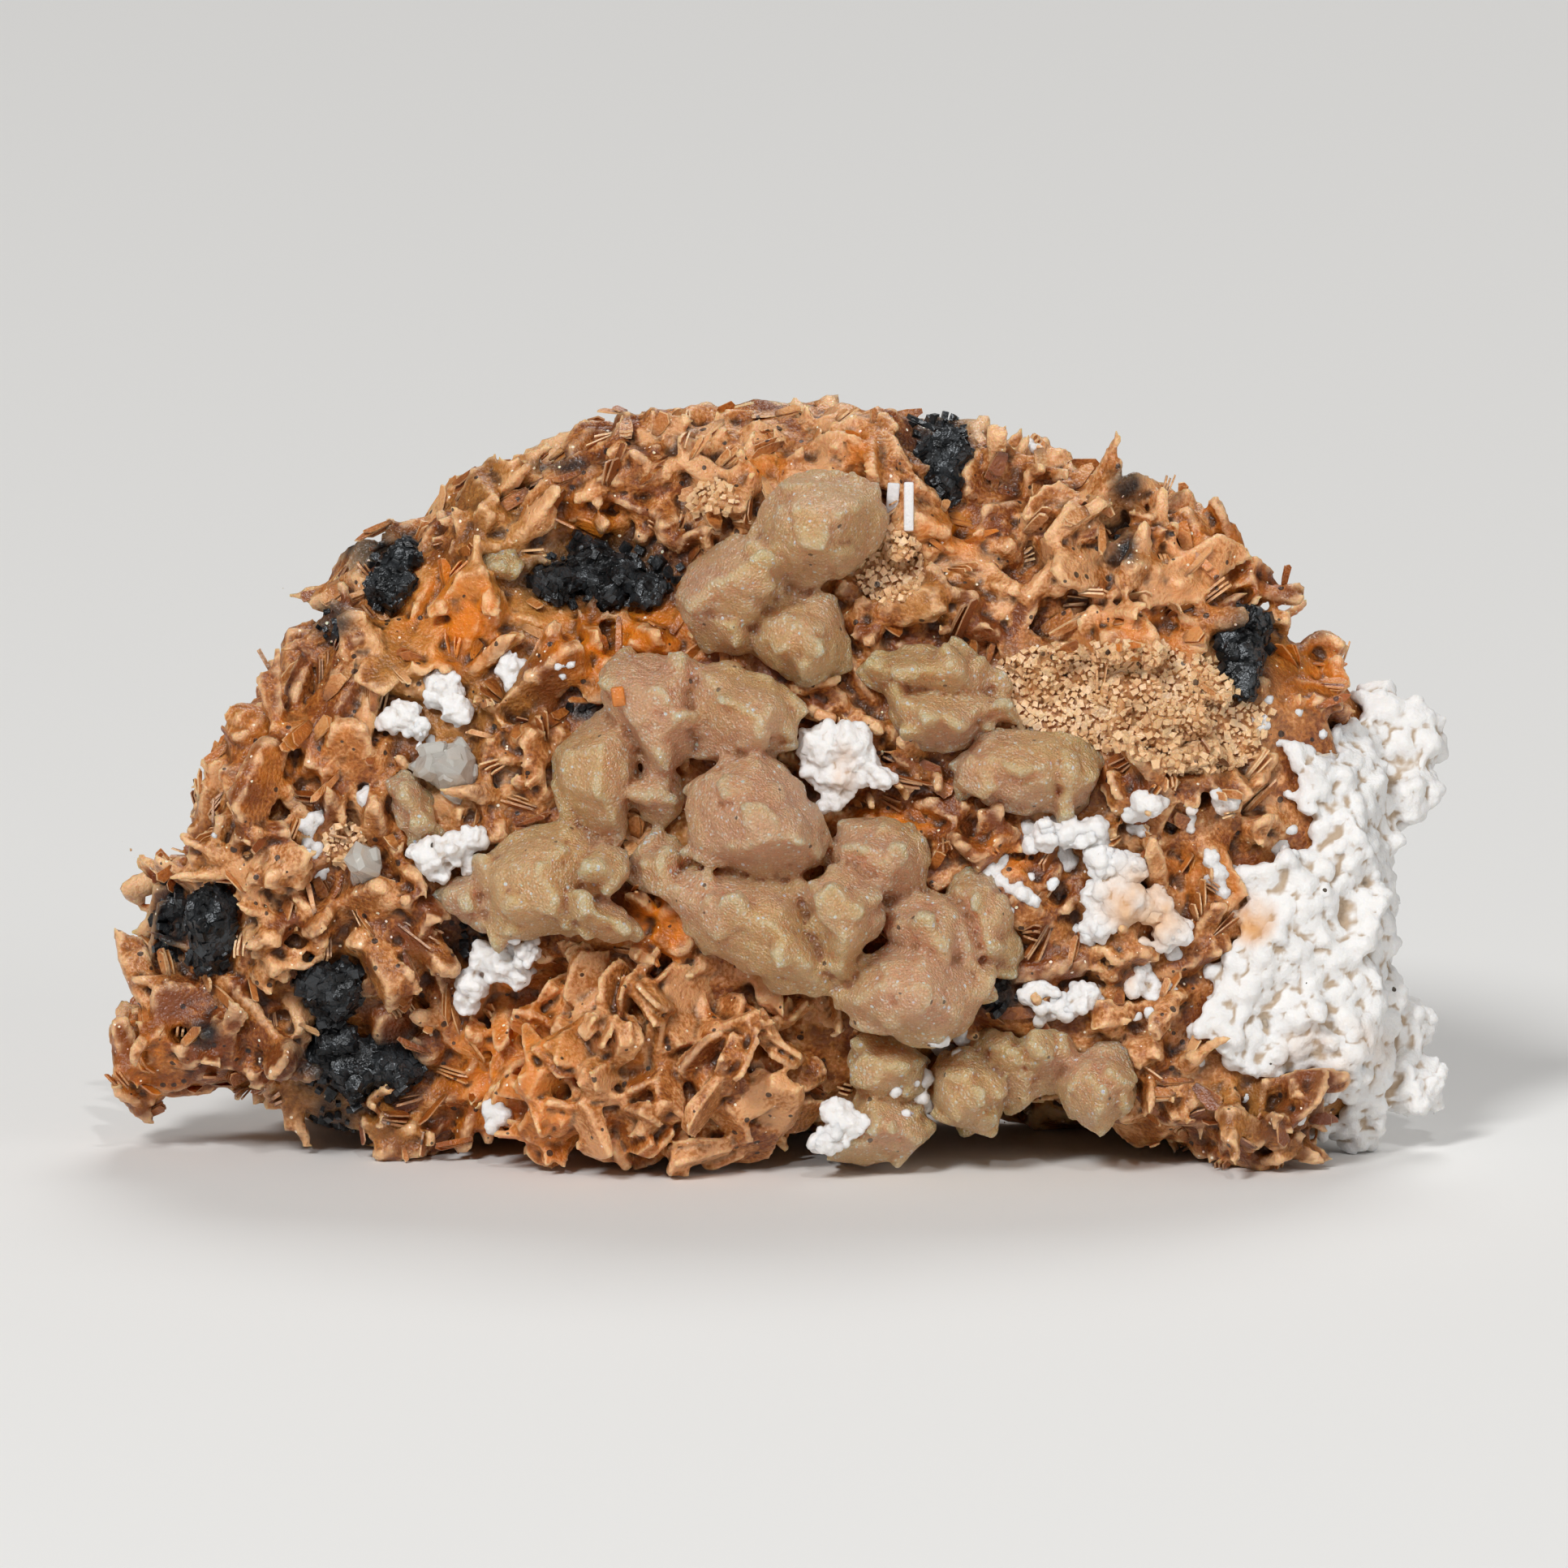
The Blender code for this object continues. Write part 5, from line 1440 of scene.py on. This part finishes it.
def makeTab(name, at, size, tilt, white, marks):
    bm = bmesh.new()
    bmesh.ops.create_cube(bm, size=1.0)
    bmesh.ops.scale(bm, verts=bm.verts, vec=Vector(size) * mm)
    bmesh.ops.bevel(bm, geom=bm.edges[:] + bm.verts[:], offset=min(size[:2]) * tabShape["bevel"] * mm,
                    segments=tabShape["segments"], profile=tabShape["profile"], affect="EDGES")
    bmesh.ops.rotate(bm, verts=bm.verts, matrix=Matrix.Rotation(math.radians(tilt), 3, "Y"))
    bmesh.ops.translate(bm, verts=bm.verts, vec=onFront(*at)[0] + towardViewer * tabShape["standsOff"] * mm)
    obj = newObject(name, fromBmesh(name, bm))
    for key, value in marks.items():
        addValue(obj.data, key, np.full(len(obj.data.vertices), value))
    obj.data.shade_smooth()
    finishPiece(obj, *((whiteLook, "white_carbonate") if white else (bariteLook, "barite")))


for name, look in tabs.items():
    makeTab(name, **look)
makeDabs()

# Galena
print("galena")
galenaSizes = {
    "seed": 31,
    "skin": 0.3,
    "softened": 2,
    "cubes": (0.3, 0.75),
    "across": (0.6, 1.0),  # of a cube's height
    "spacing": 0.42,
    "tilt": 0.6,
    "sunk": 0.3,
    "grainSpacing": 0.5,
    "grainsRaised": 0.3,
    "onSpots": 0.5,
}


def addCubes(stamps, rng, shape, spots):
    look = galenaSizes
    for place, normal in spots:
        side = anySide(rng, normal)
        tilt = Matrix.Rotation(rng.uniform(-look["tilt"], look["tilt"]), 3, side)
        size = rng.uniform(*look["cubes"]) * mm
        matrix = bladeMatrix(place - normal * size * look["sunk"], tilt @ normal, side, size,
                             size * rng.uniform(*look["across"]), size * rng.uniform(*look["across"]))
        stamps.append((shape, matrix, {"tint": rng.random()}))
    return stamps


def makeGalena():
    look = galenaSizes
    rng = random.Random(look["seed"])
    bm = bmesh.new()
    bmesh.ops.create_cube(bm, size=1.0)
    cube = templateOf(bm)
    for node in sorted(frame["nodes"]):
        if node.startswith("galena_"):
            body = remeshed(node + "_body", mergedSolid(node), look["skin"])
            smoothed(body.data, look["softened"])
            stamps = addCubes([], rng, cube, scattered(body.data, look["spacing"], rng))
            finishPiece(body, galenaLook, "galena", node)
            finishStamps(node + "_cubes", stamps, galenaLook, "galena")
    # dark grains on the rock round them
    spots = scattered(rock, look["grainSpacing"], rng, inSpots(sootSpots, look["onSpots"]))
    spots = [(place + normal * look["grainsRaised"] * mm, normal) for place, normal in spots]
    finishStamps("galena_grains", addCubes([], rng, cube, spots), galenaLook, "galena")


makeGalena()

# Sandy crusts of small grains
print("sand")
sandSizes = {
    "seed": 17,
    "templates": 6,
    "corners": (0.6, 1.15),
    "spacing": 0.28,
    "onSpots": 0.4,
    "free": 0.4,
    "grains": (0.2, 0.62),
    "across": (0.7, 1.2),
    "raised": 0.16,
    "tint": (0.7, 1.4),
    "stain": 0.12,
}


def makeSand():
    look = sandSizes
    rng = random.Random(look["seed"])
    shapes = []
    for _ in range(look["templates"]):
        bm = bmesh.new()
        bmesh.ops.create_cube(bm, size=0.8)
        for vert in bm.verts:
            vert.co *= rng.uniform(*look["corners"])
        shapes.append(templateOf(bm, bm.faces))
    spots = []
    for name in ("barite_mass_front_left", "barite_mass_front_right"):
        mesh = bpy.data.objects[name].data
        spots += scattered(mesh, look["spacing"], rng, inSpots(sandSpots, look["onSpots"]))
    stamps = []
    for place, normal in spots:
        if buriedIn(place, normal, look["free"]):
            continue
        size = rng.uniform(*look["grains"]) * mm
        matrix = bladeMatrix(place + normal * look["raised"] * mm, normal, anySide(rng, normal), size,
                             size * rng.uniform(*look["across"]), size * rng.uniform(*look["across"]))
        stamps.append((rng.choice(shapes), matrix, {"tint": rng.uniform(*look["tint"]),
                                                    "stain": look["stain"] * rng.random(), "soot": 0.0}))
    mesh = stampedMesh("sandy_grains", stamps)
    addValue(mesh, "rise", np.ones(len(mesh.vertices)))
    finishPiece(newObject("sandy_grains", mesh), bariteLook, "barite")


makeSand()

# The floor, the lights and the camera
print("studio")
studio = {
    "floorWidth": 12.0,  # metres, as are the lamps' places and widths
    "floorColour": (0.86, 0.855, 0.84),
    "floorRough": 0.8,
    "world": (1.0, 0.97, 0.93),
    "worldStrength": 0.13,
    "lampsLookAt": (0.0, 0.0, 0.02),
    "lamps": {  # place, width, power
        "key": ((-0.7, -1.7, 1.35), 0.45, 34.0),
        "fill": ((1.8, -1.6, 0.7), 1.0, 9.0),
        "back": ((0.3, 1.6, 1.9), 1.0, 20.0),
        "glint": ((0.3, -2.1, 1.7), 0.08, 12.0),
    },
    "clip": (0.01, 20.0),
}


def makeFloor():
    bm = bmesh.new()
    bmesh.ops.create_grid(bm, x_segments=1, y_segments=1, size=studio["floorWidth"] / 2)
    floor = newObject("floor", fromBmesh("floor", bm))
    material, tree, shader = newMaterial("paleFloor", studio["floorRough"])
    fillSockets(tree, shader, {"Base Color": (*studio["floorColour"], 1.0)})
    floor.data.materials.append(material)


def placeAimed(name, data, place, target):
    # a lamp or camera at its place, looking at the target
    obj = newObject(name, data)
    obj.location = place
    obj.rotation_euler = (Vector(target) - Vector(place)).to_track_quat("-Z", "Y").to_euler()
    return obj


def makeLights():
    for name, (place, width, power) in studio["lamps"].items():
        lamp = bpy.data.lights.new(name, "AREA")
        lamp.size, lamp.energy = width, power
        placeAimed(name, lamp, place, studio["lampsLookAt"])
    world = bpy.data.worlds.new("studioAir")
    world.use_nodes = True
    air = world.node_tree.nodes["Background"]
    air.inputs[0].default_value = (*studio["world"], 1.0)
    air.inputs[1].default_value = studio["worldStrength"]
    bpy.context.scene.world = world
    bpy.context.scene.view_settings.view_transform = "Standard"


def makeCamera():
    lens = bpy.data.cameras.new("camera")
    lens.sensor_width = photoView["sensor"]
    seen = photoView["frame"] / photoView["pixelsPerMm"]
    lens.lens = photoView["sensor"] * photoView["distance"] / seen
    lens.clip_start, lens.clip_end = studio["clip"]
    target = viewPlace(*acrossUp(photoView["frame"] / 2, photoView["frame"] / 2))
    place = target + towardViewer * photoView["distance"] * mm
    bpy.context.scene.camera = placeAimed("camera", lens, place, target)


makeFloor()
makeLights()
makeCamera()
